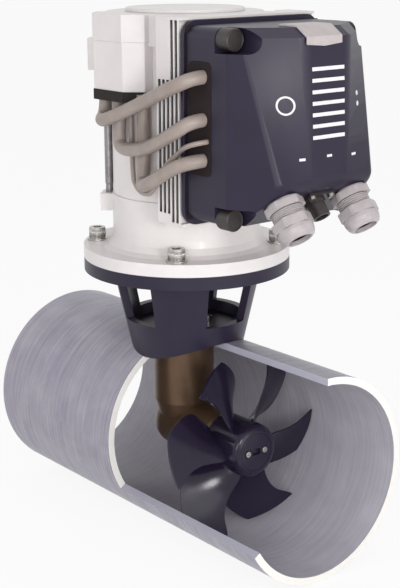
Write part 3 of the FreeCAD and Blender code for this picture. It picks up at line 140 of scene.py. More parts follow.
def makeCamera():
    data = bpy.data.cameras.new("photoCamera")
    data.sensor_width = view["sensor"]
    data.lens = view["lens"]
    data.clip_start, data.clip_end = view["clip"]
    camera = bpy.data.objects.new("photoCamera", data)
    scene.collection.objects.link(camera)
    azimuth, elevation = math.radians(view["azimuth"]), math.radians(view["elevation"])
    back = Vector((math.sin(azimuth) * math.cos(elevation),
                   -math.cos(azimuth) * math.cos(elevation), math.sin(elevation)))
    right = Vector((math.cos(azimuth), math.sin(azimuth), 0))
    up = back.cross(right)
    turn = Matrix((right, up, back)).transposed().to_4x4()
    place = Matrix.Translation((Vector(view["target"]) + back * view["distance"]) * mm)
    camera.matrix_world = place @ turn @ Matrix.Rotation(math.radians(view["roll"]), 4, "Z")
    scene.camera = camera


makeCamera()

leads = {
    "thick": 12.5, "thin": 4.6,              # diameters, mm
    "colors": ("#aa9d96", "#897c75"),
    "cloudScale": 60, "grainScale": 1400,    # per metre: clouds of 17 mm, a grain of 0.7 mm
    "cloudDetail": 3, "grainDetail": 2, "rough": (0.34, 0.5), "bump": 0.5, "grainDepth": 0.03,
    "roundSteps": 7, "lengthSteps": 16,
    "lengths": {"phase_lead_1": 194.5, "phase_lead_2": 193.9, "phase_lead_3": 196.0,
                "sensor_lead": 231.7},
    # from under the terminal cover to just inside the control box, mm
    "routes": {
        "phase_lead_1": [(-21.7, -78.7, 345), (-21.7, -78.7, 324.8), (-12.8, -92.9, 317.8),
                         (13.3, -94.9, 325.5), (45.9, -90.7, 338.7), (78.7, -93, 351.2),
                         (108, -96.8, 361.2), (120.5, -87.2, 368), (120.5, -71.5, 368)],
        "phase_lead_2": [(-1.1, -79.4, 345), (-1.1, -79.4, 302), (6.9, -83.2, 294.1),
                         (31.7, -87.5, 295.3), (64.6, -92.4, 302.7), (107, -96.9, 321.5),
                         (120.5, -90.6, 331.3), (120.5, -71.5, 331.3)],
        "phase_lead_3": [(29.3, -73.4, 345), (29.3, -73.4, 270.6), (36.5, -82.2, 262.6),
                         (59.8, -93.5, 268.3), (85.5, -94.2, 281.2), (105.9, -96.5, 290.8),
                         (120.5, -87.6, 296), (120.5, -71.5, 296)],
        "sensor_lead": [(11.5, -74.5, 345), (11.5, -74.5, 268.5), (19.9, -75.9, 257.7),
                        (35.8, -79.6, 254.3), (53.7, -83, 258), (72.8, -83.3, 286.3),
                        (94.1, -83.8, 300.1), (112.2, -90.9, 308.5), (126.5, -86.2, 313),
                        (126.5, -71.5, 313)],
    },
}


def makeSheath():
    # extruded PVC sheath, warm grey: faint die lines along it would not show, so only a soft
    # cloudiness and a very fine grain
    material, tree, shader = newMaterial("greyCableSheath")
    place = addNode(tree, "ShaderNodeTexCoord").outputs["Object"]
    cloud = noiseNode(tree, place, leads["cloudScale"], leads["cloudDetail"])
    grain = noiseNode(tree, place, leads["grainScale"], leads["grainDetail"])
    wireShader(tree, shader, mixColors(tree, cloud, *leads["colors"]),
               rangeNode(tree, grain, (0, 1), leads["rough"]),
               bumpNode(tree, grain, leads["bump"], leads["grainDepth"]))
    return material


def makeLeads():
    sheath = makeSheath()
    for name, route in leads["routes"].items():
        diameter = leads["thin" if name == "sensor_lead" else "thick"] * mm
        curve = bpy.data.curves.new(name + "Sheath", "CURVE")
        curve.dimensions = "3D"
        curve.bevel_depth = diameter / 2
        curve.bevel_resolution = leads["roundSteps"]
        curve.resolution_u = leads["lengthSteps"]
        curve.use_fill_caps = True
        spline = curve.splines.new("NURBS")
        spline.points.add(len(route) - 1)
        for point, place in zip(spline.points, route):
            point.co = (*(Vector(place) * mm), 1)
        spline.order_u = 3
        spline.use_endpoint_u = True
        piece = addPiece(name + "Sheath", curve, "housing", sheath)
        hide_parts(name)


makeLeads()
print("camera and leads ready:", len(leads["routes"]))

lighting = {
    "worldLevel": 0.54, "aim": (40, 0, 150),          # the lamps' aim in mm
    # the floor's height in mm, half its width in metres, and how much of it is plain white
    "floorHeight": -99.9, "floorHalf": 60, "floorGlow": 0.9, "paper": "#f4f4f4",
    "lamps": {
        # name: (place in mm, size in mm, watts)
        "keyLamp": ((1400, -400, 470), 320, 6),
        "endLamp": ((1500, 140, 90), 900, 3.8),
        "fillLamp": ((1000, -1150, 420), 700, 5),
        "leftLamp": ((-500, -1200, 700), 900, 2.2),
        "topLamp": ((0, 350, 1500), 900, 2.2),
    },
}


def pickBackground(tree):
    # white where the camera, a mirror or glass looks straight at it
    path = addNode(tree, "ShaderNodeLightPath").outputs
    seen = mathNode(tree, "MAXIMUM", path["Is Camera Ray"], path["Is Glossy Ray"])
    return mathNode(tree, "MAXIMUM", seen, path["Is Transmission Ray"])


def makeWorld():
    world = bpy.data.worlds.new("studioWorld")
    scene.world = world
    world.use_nodes = True
    tree = world.node_tree
    tree.nodes.clear()
    light = addNode(tree, "ShaderNodeBackground", {
        "Color": (1, 1, 1, 1), "Strength": lighting["worldLevel"]})
    white = addNode(tree, "ShaderNodeBackground", {"Color": (1, 1, 1, 1), "Strength": 1})
    mixed = addNode(tree, "ShaderNodeMixShader", links={
        0: pickBackground(tree), 1: light.outputs[0], 2: white.outputs[0]})
    addNode(tree, "ShaderNodeOutputWorld", links={"Surface": mixed.outputs[0]})


def makeLamps():
    aim = Vector(lighting["aim"]) * mm
    for name, (place, size, watts) in lighting["lamps"].items():
        data = bpy.data.lights.new(name, "AREA")
        data.shape = "DISK"
        data.size = size * mm
        data.energy = watts
        lamp = bpy.data.objects.new(name, data)
        scene.collection.objects.link(lamp)
        lamp.location = Vector(place) * mm
        lamp.rotation_euler = (aim - lamp.location).to_track_quat("-Z", "Y").to_euler()


def makeFloor():
    mesh = bpy.data.meshes.new("studioFloor")
    half, height = lighting["floorHalf"], lighting["floorHeight"] * mm
    mesh.from_pydata([(-half, -half, height), (half, -half, height), (half, half, height),
                      (-half, half, height)], [], [(0, 1, 2, 3)])
    material = bpy.data.materials.new("paleStudioFloor")   # pale paper, white to the camera
    material.use_nodes = True
    tree = material.node_tree
    tree.nodes.clear()
    paper = addNode(tree, "ShaderNodeBsdfDiffuse", {"Color": hexColor(lighting["paper"])})
    glow = addNode(tree, "ShaderNodeEmission", {"Color": (1, 1, 1, 1), "Strength": 1})
    share = mathNode(tree, "MULTIPLY", pickBackground(tree), lighting["floorGlow"])
    mixed = addNode(tree, "ShaderNodeMixShader", links={
        0: share, 1: paper.outputs[0], 2: glow.outputs[0]})
    addNode(tree, "ShaderNodeOutputMaterial", links={"Surface": mixed.outputs[0]})
    mesh.materials.append(material)
    floor = bpy.data.objects.new("studioFloor", mesh)
    scene.collection.objects.link(floor)


makeWorld()
makeLamps()
makeFloor()
scene.view_settings.view_transform = "Standard"
print("light and floor ready")

# What each finish is: two hex colours that it drifts between, over patches of the given
# size, with a fine grain that roughens the light. Sizes are in mm. A crevice shade is painted
# shade down in slots and grooves: its colour, how near the walls are, and the shares of open
# view at which it is full and gone. With ownWalls False, other pieces count as walls too.
finishes = {
    # spray-painted aluminium casting: warm white, soft orange-peel gloss
    "whitePaintedCasting": dict(colors=("#e6e1e0", "#dcd6d6"), patch=55, grain=1.6, depth=0.05,
                                rough=(0.34, 0.46), coat=0.1),
    # the same paint on an extrusion, with painted shade down between the fins
    "whitePaintedFinsWithPaintedShade": dict(colors=("#e6e1e0", "#dcd6d6"), patch=55, grain=1.6, depth=0.05,
                             rough=(0.34, 0.46), coat=0.1, paintedCreviceShade=("#1f191a", 9, 0.25, 0.8)),
    # glass-filled polyamide, moulded: navy-slate with a fine spark-eroded grain
    "navyMouldedPolyamide": dict(colors=("#282236", "#231e30"), patch=40, grain=0.8, depth=0.05,
                                 rough=(0.34, 0.44), gloss=0.3),
    # the propeller's own moulding: nearly black navy and glossy
    "navyGlossPolyamide": dict(colors=("#231c30", "#1f182a"), patch=30, grain=1.2, depth=0.01,
                               rough=(0.15, 0.2), gloss=0.3),
    # sand-cast bronze: brown skin with darker patches and a coarse grain
    "castBronze": dict(colors=("#6e5744", "#5c4838"), patch=34, grain=1.2, depth=0.06,
                       rough=(0.32, 0.42), metallic=0.55, gloss=0.35),
    # machined stainless steel, bright with a faint grain
    "stainlessScrewSteel": dict(colors=("#c2bfbc", "#a29e9a"), patch=3, grain=0.5, depth=0.02,
                                rough=(0.24, 0.36), metallic=1.0),
    # zinc-plated steel rod, duller than stainless
    "platedRodSteel": dict(colors=("#9c989a", "#7f7b7e"), patch=6, grain=0.5, depth=0.02,
                           rough=(0.3, 0.42), metallic=0.9),
    # ground bearing and shaft steel, bright
    "groundShaftSteel": dict(colors=("#b9b9bc", "#a7a7ab"), patch=8, grain=0.4, depth=0.01,
                             rough=(0.18, 0.28), metallic=1.0),
    # case-hardened gear steel, dark with a blue cast
    "hardenedGearSteel": dict(colors=("#7a7b80", "#63646a"), patch=5, grain=0.5, depth=0.02,
                              rough=(0.28, 0.4), metallic=1.0),
    # varnished stack of core sheets
    "varnishedCoreSteel": dict(colors=("#5a5654", "#48443f"), patch=6, grain=0.5, depth=0.05,
                               rough=(0.45, 0.6), metallic=0.6),
    # nickel-plated magnets
    "platedMagnet": dict(colors=("#8f8f93", "#838388"), patch=9, grain=0.6, depth=0.01,
                         rough=(0.22, 0.3), metallic=1.0),
    # nitrile rubber: black and dull
    "nitrileRubber": dict(colors=("#2a2022", "#211a1b"), patch=14, grain=0.9, depth=0.06,
                          rough=(0.6, 0.75), gloss=0.15),
    # coupling spider: red polyurethane
    "redPolyurethane": dict(colors=("#8d2d22", "#7a251c"), patch=8, grain=0.7, depth=0.03,
                            rough=(0.45, 0.55)),
    # black moulded polyamide of knobs and connector
    "blackMouldedPolyamide": dict(colors=("#332c2c", "#292324"), patch=8, grain=0.6, depth=0.04,
                                  rough=(0.38, 0.5)),
    # moulded phenolic of the terminal block, darker and drier than polyamide
    "blackPhenolicResin": dict(colors=("#231c1d", "#1b1516"), patch=10, grain=0.7, depth=0.05,
                               rough=(0.5, 0.62), gloss=0.2),
    # grey moulded plastic of the glands, a little warm, with painted shade down in its grooves
    # and where other pieces come near
    "greyGlandPolyamide": dict(colors=("#b5adaf", "#a79fa1"), patch=9, grain=0.7, depth=0.03,
                               rough=(0.3, 0.4), paintedCreviceShade=("#352d2e", 1.6, 0.25, 0.8),
                               ownWalls=False),
    # screen-printed ink: matt white with a very fine grain
    "printedWhiteInk": dict(colors=("#e9e7e8", "#dedbdd"), patch=6, grain=0.4, depth=0.01,
                            rough=(0.5, 0.6)),
    # the trim clip: satin grey ABS
    "satinGreyAbs": dict(colors=("#bfb6b5", "#b2a9a9"), patch=12, grain=0.5, depth=0.03,
                         rough=(0.36, 0.46)),
    # solder-masked board
    "boardLaminate": dict(colors=("#1c5a34", "#174c2c"), patch=10, grain=0.6, depth=0.03,
                          rough=(0.3, 0.42)),
    # aluminium cans of the capacitors
    "drawnAluminium": dict(colors=("#b3b4b7", "#a2a3a7"), patch=7, grain=0.4, depth=0.02,
                           rough=(0.25, 0.38), metallic=1.0),
    # enamelled copper wire of the windings
    "enamelledCopper": dict(colors=("#8a4a28", "#6e3a1f"), patch=5, grain=1.2, depth=0.15,
                            rough=(0.3, 0.45), metallic=0.7),
}


def objectPlace(tree):
    # the piece's own coordinates in mm
    place = addNode(tree, "ShaderNodeTexCoord")
    return addNode(tree, "ShaderNodeVectorMath", {"operation": "SCALE", "Scale": 1000},
                   {0: place.outputs["Object"]}).outputs[0]


shading = {
    # what all finishes share: the part of a noise's range that is used, and how many rays
    # look for the walls of a crevice, for the painted shade there
    "band": (0.3, 0.7), "cloudDetail": 4, "cloudRough": 0.6, "grainDetail": 2,
    "bump": 0.6, "coatRough": 0.12, "wallRays": 6,
}


def makeFinish(name, look):
    material, tree, shader = newMaterial(name)
    place = objectPlace(tree)
    cloud = noiseNode(tree, place, 1 / look["patch"], shading["cloudDetail"],
                      shading["cloudRough"])
    grain = noiseNode(tree, place, 1 / look["grain"], shading["grainDetail"])
    shade = mixColors(tree, rangeNode(tree, cloud, shading["band"]), *look["colors"])
    # painted shade: where the ambient occlusion finds walls near, the colour darkens towards the
    # shade colour
    if "paintedCreviceShade" in look:
        shadeColor, reach, closed, clear = look["paintedCreviceShade"]
        around = addNode(tree, "ShaderNodeAmbientOcclusion", {
            "samples": shading["wallRays"], "only_local": look.get("ownWalls", True),
            "Distance": reach * mm})
        share = rangeNode(tree, around.outputs["AO"], (closed, clear))
        shade = mixColors(tree, share, shadeColor, shade)
    wireShader(tree, shader, shade, rangeNode(tree, grain, shading["band"], look["rough"]),
               bumpNode(tree, grain, shading["bump"], look["depth"]))
    shader.inputs["Metallic"].default_value = look.get("metallic", 0)
    shader.inputs["Coat Weight"].default_value = look.get("coat", 0)
    shader.inputs["Specular IOR Level"].default_value = look.get("gloss", 0.5)
    shader.inputs["Coat Roughness"].default_value = shading["coatRough"]
    return material


laminate = {
    "outside": ("#a7a3ae", "#8a8697"), "inside": ("#b9b6bf", "#a5a2ac"), "ringFace": "#edeae6",
    "longFace": "#a9a8b6", "streakMm": 2.2, "bandMm": 34, "midWall": 96,   # radius, mm
    "streakDetail": 5, "streakRough": 0.65, "bandDetail": 3, "bandRough": 0.6,
    "streakShare": 0.62, "bandShare": 0.38, "colorBand": (0.38, 0.62),
    # mm along the tube for each radian, so that the fibres lean, and how fast they change
    # round it
    "lean": 3.0, "spread": 2.5,
    "ringFacing": 0.7, "longFacing": 0.5, "rough": (0.28, 0.5), "bump": 0.5, "depth": 0.12,
}


def windingPlace(tree, along, angle, around, aside):
    # coordinates that hardly change along a fibre
    spread = laminate["spread"]
    return addNode(tree, "ShaderNodeCombineXYZ", links={
        0: mathNode(tree, "MULTIPLY_ADD", angle, laminate["lean"], along),
        1: mathNode(tree, "MULTIPLY", around, spread),
        2: mathNode(tree, "MULTIPLY", aside, spread)}).outputs[0]


def lengthAcross(tree, y, z):
    flat = addNode(tree, "ShaderNodeCombineXYZ", links={1: y, 2: z})
    return addNode(tree, "ShaderNodeVectorMath", {"operation": "LENGTH"},
                   {0: flat.outputs[0]}).outputs["Value"]


def makeLaminate():
    # filament-wound glass and resin: fine rings of fibre round the tube, cloudier bands
    # between them, and paler sawn faces
    material, tree, shader = newMaterial("woundGlassLaminate")
    place = objectPlace(tree)
    x, y, z = addNode(tree, "ShaderNodeSeparateXYZ", links={0: place}).outputs
    angle = mathNode(tree, "ARCTAN2", z, y)
    around, aside = mathNode(tree, "SINE", angle), mathNode(tree, "COSINE", angle)
    streaks = noiseNode(tree, windingPlace(tree, x, angle, around, aside),
                        1 / laminate["streakMm"], laminate["streakDetail"],
                        laminate["streakRough"])
    bands = noiseNode(tree, place, 1 / laminate["bandMm"], laminate["bandDetail"],
                      laminate["bandRough"])
    mixed = mathNode(tree, "MULTIPLY_ADD", streaks, laminate["streakShare"],
                     mathNode(tree, "MULTIPLY", bands, laminate["bandShare"]))
    shift = rangeNode(tree, mixed, laminate["colorBand"])
    outside, inside = (mixColors(tree, shift, *laminate[side]) for side in ("outside", "inside"))
    isOut = mathNode(tree, "GREATER_THAN", lengthAcross(tree, y, z), laminate["midWall"])
    skin = mixColors(tree, isOut, inside, outside)
    # faces that look along the tube are the sawn rings, faces at right angles to the
    # radius are the lengthwise cuts
    normal = addNode(tree, "ShaderNodeTexCoord").outputs["Normal"]
    facing = addNode(tree, "ShaderNodeSeparateXYZ", links={0: normal}).outputs[0]
    isRing = mathNode(tree, "GREATER_THAN", mathNode(tree, "ABSOLUTE", facing),
                      laminate["ringFacing"])
    radial = addNode(tree, "ShaderNodeCombineXYZ", links={1: aside, 2: around})
    outward = addNode(tree, "ShaderNodeVectorMath", {"operation": "DOT_PRODUCT"},
                      {0: normal, 1: radial.outputs[0]})
    isLong = mathNode(tree, "LESS_THAN", mathNode(tree, "ABSOLUTE", outward.outputs["Value"]),
                      laminate["longFacing"])
    color = mixColors(tree, isRing, mixColors(tree, isLong, skin, laminate["longFace"]),
                      laminate["ringFace"])
    wireShader(tree, shader, color, rangeNode(tree, streaks, shading["band"], laminate["rough"]),
               bumpNode(tree, streaks, laminate["bump"], laminate["depth"]))
    return material


finish = {name: makeFinish(name, look) for name, look in finishes.items()}
finish["woundGlassLaminate"] = makeLaminate()

slotFinish = {
    "tunnel_laminate": "woundGlassLaminate", "navy_plastic": "navyMouldedPolyamide",
    "navy_gloss_plastic": "navyGlossPolyamide", "bronze": "castBronze",
    "stainless_steel": "stainlessScrewSteel", "bearing_steel": "groundShaftSteel",
    "shaft_steel": "groundShaftSteel", "gear_steel": "hardenedGearSteel",
    "coupling_steel": "hardenedGearSteel", "core_steel": "varnishedCoreSteel",
    "magnet": "platedMagnet", "copper_winding": "enamelledCopper",
    "white_paint": "whitePaintedCasting", "seal_rubber": "nitrileRubber",
    "spider_rubber": "redPolyurethane", "black_plastic": "blackMouldedPolyamide",
    "grey_plastic": "satinGreyAbs", "light_grey_plastic": "greyGlandPolyamide",
    "board_laminate": "boardLaminate", "capacitor_can": "drawnAluminium",
}
nodeFinish = {"tie_rods": "platedRodSteel", "terminal_base": "blackPhenolicResin",
              "heat_sink": "whitePaintedFinsWithPaintedShade"}   # nodes that differ from their slot's finish


def finishOf(name):
    return finish[nodeFinish.get(name, slotFinish[slotOf[name]])]


def dressNodes():
    for name, node in frame["nodes"].items():
        if slotOf[name] in slotFinish:
            node.data.materials.clear()
            node.data.materials.append(finishOf(name))


dressNodes()
print("finishes ready:", len(finish))

# Real mouldings, castings and turned parts have no sharp edges: the width asked of the
# rounding, in mm. The bevel keeps clear of overlaps, so a piece with a tight spot gets much
# less than it asks. Nothing else about their shape changes.
softened = {
    "saddle_bracket": 1.2, "motor_flange": 1.0, "stator_housing": 0.6, "top_end_cap": 1.2,
    "top_lid": 0.8, "terminal_cover": 1.6, "terminal_base": 0.8, "heat_sink": 0.3,
    "control_box_base": 0.8, "badge_clip": 0.6, "cable_entry_plate": 0.5, "cover_knobs": 0.3,
    "gland_bodies": 0.5, "gland_domes": 0.6, "signal_connector": 0.4, "connector_screws": 0.3,
    "tunnel_tube": 0.5, "leg_housing": 0.6, "gearcase_cap": 0.8, "flange_bolts": 0.4,
    "flange_washers": 0.2, "tie_rods": 0.3, "hub_cap": 0.5, "hub_cap_screws": 0.2,
    "coupling_lower_half": 0.6, "coupling_upper_half": 0.6, "leg_bolts": 0.4,
    "gearcase_screws": 0.3,
}
smoothAngle = 15   # degrees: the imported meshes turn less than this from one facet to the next
flatAngle = 0.5    # degrees: faces that turn less than this are one flat face
mergeMm = 0.01     # points nearer than this are one point


def mergedCopy(name):
    edit = bmesh.new()
    edit.from_mesh(frame["nodes"][name].data)
    bmesh.ops.remove_doubles(edit, verts=edit.verts, dist=mergeMm * mm)
    mesh = bpy.data.meshes.new(name + "Soft")
    edit.to_mesh(mesh)
    edit.free()
    return mesh


def flattenFaces(mesh, merge=None):
    # joins the triangles of each flat face, after any points nearer than merge mm
    edit = bmesh.new()
    edit.from_mesh(mesh)
    if merge:
        bmesh.ops.remove_doubles(edit, verts=edit.verts, dist=merge * mm)
    bmesh.ops.dissolve_limit(edit, angle_limit=math.radians(flatAngle), verts=edit.verts,
                             edges=edit.edges)
    edit.to_mesh(mesh)
    edit.free()


def roundPiece(piece, width):
    bevel = piece.modifiers.new("rounding", "BEVEL")
    bevel.width = width * mm
    bevel.segments = 3
    bevel.limit_method = "ANGLE"
    bevel.angle_limit = math.radians(smoothAngle)
    bevel.harden_normals = True
    normals = piece.modifiers.new("flatFacesStayFlat", "WEIGHTED_NORMAL")
    normals.weight = 100
    normals.keep_sharp = True


def softenNode(name, width):
    mesh = mergedCopy(name)
    flattenFaces(mesh)
    piece = addPiece(name + "Soft", mesh, bodyOf[name], finishOf(name))
    roundPiece(piece, width)
    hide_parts(name)


for nodeName, roundWidth in softened.items():
    softenNode(nodeName, roundWidth)


def smoothNode(name):
    # a freely curved piece: smooth faces, with its true edges kept crisp
    mesh = mergedCopy(name)
    piece = addPiece(name + "Soft", mesh, bodyOf[name], finishOf(name))
    mesh.set_sharp_from_angle(angle=math.radians(smoothAngle))
    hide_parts(name)


smoothNode("propeller")
print("softened pieces:", len(softened) + 1)

boxForm = {
    # the front's plan at two heights, mm: how far forward and how far out each corner lies
    "foot": 279, "head": 386, "back": 60,
    "side": ((151.4, 78), (151.4, 78)), "corner": ((195.5, 56.3), (165.2, 69.4)),
    "ridge": ((198, 20), (193.4, 24.6)),
    "rounding": {"side": 9, "corner": 8, "ridge": 26}, "backRounding": 2, "arcSteps": 8,
    # at 11 the low rounding cuts through the hollow cover at its lower corners, at 7.5 it
    # leaves 0.9 mm of wall there
    "slopeStart": (151.9, 240), "slopeAngle": 38.3, "lowRounding": 7.5,
    # the forms stand proud of the cover's flat faces, so they cut only where they are round
    "lowSteps": 8, "proud": 0.03, "edgeWidth": 0.5, "mergeMm": 0.05,
    # heights of the upright form's rows, and how far the sloping form's rows are raised
    "levels": range(230, 421, 10), "rises": (40, 80, 120, 180, 260),
    "leastCosine": 0.3,   # keeps a sharp corner from moving off too far
}
boxCorners = ("side", "corner", "ridge")


def boxCorner(name, level):
    (x0, y0), (x1, y1) = boxForm[name]
    share = (level - boxForm["foot"]) / (boxForm["head"] - boxForm["foot"])
    return Vector((x0 + (x1 - x0) * share, y0 + (y1 - y0) * share))


def roundedOutline(corners, radii, grow):
    # a closed outline with tangent arcs at its corners, moved outwards by grow
    count, steps = len(corners), boxForm["arcSteps"]
    moved = []
    for i, corner in enumerate(corners):
        before = (corner - corners[i - 1]).normalized()
        after = (corners[(i + 1) % count] - corner).normalized()
        out = (Vector((before.y, -before.x)) + Vector((after.y, -after.x))).normalized()
        cosine = max(boxForm["leastCosine"], out.dot(Vector((before.y, -before.x))))
        moved.append(corner + out * grow / cosine)
    line = []
    for i, corner in enumerate(moved):
        before = (moved[i - 1] - corner).normalized()
        after = (moved[(i + 1) % count] - corner).normalized()
        half = before.angle(after) / 2
        radius = radii[i]
        reach = radius / math.tan(half)
        middle = corner + (before + after).normalized() * (radius / math.sin(half))
        start, end = corner + before * reach - middle, corner + after * reach - middle
        turn = start.angle_signed(end)
        for step in range(steps + 1):
            spun = start.copy()
            spun.rotate(Matrix.Rotation(-turn * step / steps, 2))
            line.append(middle + spun)
    return line


def skinRows(name, rows):
    # a closed body through rows of points
    count = len(rows[0])
    verts = [point * mm for row in rows for point in row]
    last = (len(rows) - 1) * count
    faces = [tuple(range(count))[::-1], tuple(range(last, last + count))]
    for r in range(len(rows) - 1):
        for i in range(count):
            j = (i + 1) % count
            faces.append((r * count + i, r * count + j, (r + 1) * count + j, (r + 1) * count + i))
    mesh = bpy.data.meshes.new(name)
    mesh.from_pydata(verts, [], faces)
    edit = bmesh.new()
    edit.from_mesh(mesh)
    bmesh.ops.recalc_face_normals(edit, faces=edit.faces)
    edit.to_mesh(mesh)
    edit.free()
    tool = bpy.data.objects.new(name, mesh)
    scene.collection.objects.link(tool)
    return tool


def planLine(right, grow):
    # the box's rounded outline in plan, from the corners of its +Y half
    back, half = boxForm["back"], right[0].y
    points = [Vector((back, -half))] + [Vector((p.x, -p.y)) for p in right]
    points += right[::-1] + [Vector((back, half))]
    arcs = [boxForm["backRounding"]] + [boxForm["rounding"][n] for n in boxCorners]
    return roundedOutline(points, arcs + arcs[::-1], grow)


def uprightRow(level):
    line = planLine([boxCorner(name, level) for name in boxCorners], boxForm["proud"])
    return [Vector((p.x, p.y, level)) for p in line]


def slopingRow(rise, grow):
    # the row that lies in the sloping plane raised by so much
    startX, startZ = boxForm["slopeStart"]
    tangent = math.tan(math.radians(boxForm["slopeAngle"]))
    right = []
    for name in boxCorners:
        low = boxCorner(name, 0).x
        lean = boxCorner(name, 1).x - low
        z = (startZ + rise + (low - startX) * tangent) / (1 - lean * tangent)
        right.append(boxCorner(name, z))
    return [Vector((p.x, p.y, startZ + rise + (p.x - startX) * tangent))
            for p in planLine(right, grow)]


def makeCover():
    # the cover's facets meet in broad roundings, and its lower front edge is rounded too
    proud, low, steps = boxForm["proud"], boxForm["lowRounding"], boxForm["lowSteps"]
    upright = skinRows("uprightForm", [uprightRow(z) for z in boxForm["levels"]])
    cosine = math.cos(math.radians(boxForm["slopeAngle"]))
    rows = []
    for step in range(steps + 1):
        turn = math.pi / 2 * step / steps
        inset = low * (1 - math.sin(turn)) - proud
        depth = low * (1 - math.cos(turn)) - proud
        rows.append(slopingRow(depth / cosine, -inset))
    rows += [slopingRow(z, proud) for z in boxForm["rises"]]
    sloping = skinRows("slopingForm", rows)
    name = "control_box_cover"
    mesh = mergedCopy(name)
    piece = addPiece(name + "Soft", mesh, bodyOf[name], finishOf(name))
    for tool in (upright, sloping):
        part = piece.modifiers.new(tool.name, "BOOLEAN")
        part.operation = "INTERSECT"
        part.solver = "EXACT"
        part.object = tool
    graph = bpy.context.evaluated_depsgraph_get()
    shaped = bpy.data.meshes.new_from_object(piece.evaluated_get(graph))
    piece.modifiers.clear()
    piece.data = shaped
    shaped.materials.clear()
    shaped.materials.append(finishOf(name))
    for tool in (upright, sloping):
        bpy.data.objects.remove(tool)
    flattenFaces(shaped, boxForm["mergeMm"])
    shaped.shade_smooth()
    roundPiece(piece, boxForm["edgeWidth"])
    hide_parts(name)
    return piece


cover = makeCover()
print("control box cover ready:", len(cover.data.polygons), "faces")

marks = {
    # plain printed marks on the box's front: places and sizes (y, z) in mm
    "bars": {"size": (38, 3.2), "middle": (-0.5, 347), "pitch": 9.6, "count": 7},
    "ring": {"middle": (-42.6, 346.4), "outer": 8.0, "inner": 6.4, "steps": 40},
    "dots": {"places": ((43.3, 351), (43.3, 342)), "outer": 2.2, "inner": 0.05, "steps": 20},
    "dashes": {"size": (6, 2.2), "places": ((-30.6, 300.7), (-0.3, 301.5), (31.2, 299.7))},
    # how deep the ink sinks in and stands out, the steps along a bar, and where the rays
    # that find the cover start, in mm
    "layers": (-0.04, 0.08), "barSteps": 14, "rayStart": 300, "mergeMm": 0.001,
}


def markStrips():
    # each mark as rows of point pairs, one pair for each step along it
    strips = []

    def bar(middle, size):
        (y, z), (width, height), steps = middle, size, marks["barSteps"]
        across = [y - width / 2 + width * i / steps for i in range(steps + 1)]
        strips.append([((p, z - height / 2), (p, z + height / 2)) for p in across])

    def ring(middle, form):
        steps, radii = form["steps"], (form["outer"], form["inner"])
        turns = [2 * math.pi * i / steps for i in range(steps + 1)]
        strips.append([tuple((middle[0] + r * math.cos(t), middle[1] + r * math.sin(t))
                             for r in radii) for t in turns])

    bars = marks["bars"]
    y, z = bars["middle"]
    for i in range(bars["count"]):
        bar((y, z + (i - bars["count"] // 2) * bars["pitch"]), bars["size"])
    ring(marks["ring"]["middle"], marks["ring"])
    for place in marks["dots"]["places"]:
        ring(place, marks["dots"])
    for place in marks["dashes"]["places"]:
        bar(place, marks["dashes"]["size"])
    return strips


def makeMarks(carrier):
    # the strips laid on the cover, as thin closed layers of ink
    graph = bpy.context.evaluated_depsgraph_get()
    ground = BVHTree.FromObject(carrier, graph)
    ink = bmesh.new()
    inward = Vector((-1, 0, 0))
    for strip in markStrips():
        layers = []
        for lift in marks["layers"]:
            row = []
            for pair in strip:
                for y, z in pair:
                    spot = ground.ray_cast(Vector((marks["rayStart"], y, z)) * mm, inward)[0]
                    row.append(ink.verts.new(spot - inward * lift * mm))
            layers.append(row)
        back, front = layers
        count = len(strip)
        for i in range(count - 1):
            a, b, c, d = 2 * i, 2 * i + 1, 2 * i + 3, 2 * i + 2
            ink.faces.new([front[n] for n in (a, d, c, b)])
            ink.faces.new([back[n] for n in (a, b, c, d)])
            ink.faces.new((front[a], back[a], back[d], front[d]))
            ink.faces.new((front[b], front[c], back[c], back[b]))
        if strip[0] != strip[-1]:
            last = 2 * (count - 1)
            for n in (0, last):
                ink.faces.new((front[n], front[n + 1], back[n + 1], back[n]))
    bmesh.ops.remove_doubles(ink, verts=ink.verts, dist=marks["mergeMm"] * mm)
    bmesh.ops.recalc_face_normals(ink, faces=ink.faces)
    mesh = bpy.data.meshes.new("frontMarks")
    ink.to_mesh(mesh)
    ink.free()
    addPiece("frontMarks", mesh, "housing", finish["printedWhiteInk"])
    mesh.shade_flat()


makeMarks(cover)
print("marks ready")

sides = {"ring": 48, "crest": 6, "rib": 6}   # facets of a thread's rings and of a knurl


def addSockets(tree, inputs):
    tree.interface.new_socket("Geometry", in_out="OUTPUT", socket_type="NodeSocketGeometry")
    tree.interface.new_socket("Geometry", in_out="INPUT", socket_type="NodeSocketGeometry")
    for name, kind in inputs.items():
        tree.interface.new_socket(name, in_out="INPUT", socket_type="NodeSocket" + kind)
    return addNode(tree, "NodeGroupInput").outputs


def closeTree(tree, shape, material):
    solid = addNode(tree, "GeometryNodeRealizeInstances", links={0: shape})
    painted = addNode(tree, "GeometryNodeSetMaterial",
                      links={"Geometry": solid.outputs[0], "Material": material})
    addNode(tree, "NodeGroupOutput", links={0: painted.outputs[0]})


def ringTree():
    # a round ring at each point, all turned the same way: the crests of a thread
    tree = bpy.data.node_groups.new("threadCrests", "GeometryNodeTree")
    given = addSockets(tree, {"Radius": "Float", "Crest": "Float", "Turn": "Vector",
                              "Material": "Material"})
    line = addNode(tree, "GeometryNodeCurvePrimitiveCircle", {"Resolution": sides["ring"]},
                   {"Radius": given["Radius"]})
    profile = addNode(tree, "GeometryNodeCurvePrimitiveCircle", {"Resolution": sides["crest"]},
                      {"Radius": given["Crest"]})
    ring = addNode(tree, "GeometryNodeCurveToMesh",
                   links={"Curve": line.outputs[0], "Profile Curve": profile.outputs[0]})
    rings = addNode(tree, "GeometryNodeInstanceOnPoints", links={
        "Points": given["Geometry"], "Instance": ring.outputs[0], "Rotation": given["Turn"]})
    closeTree(tree, rings.outputs[0], given["Material"])
    return tree


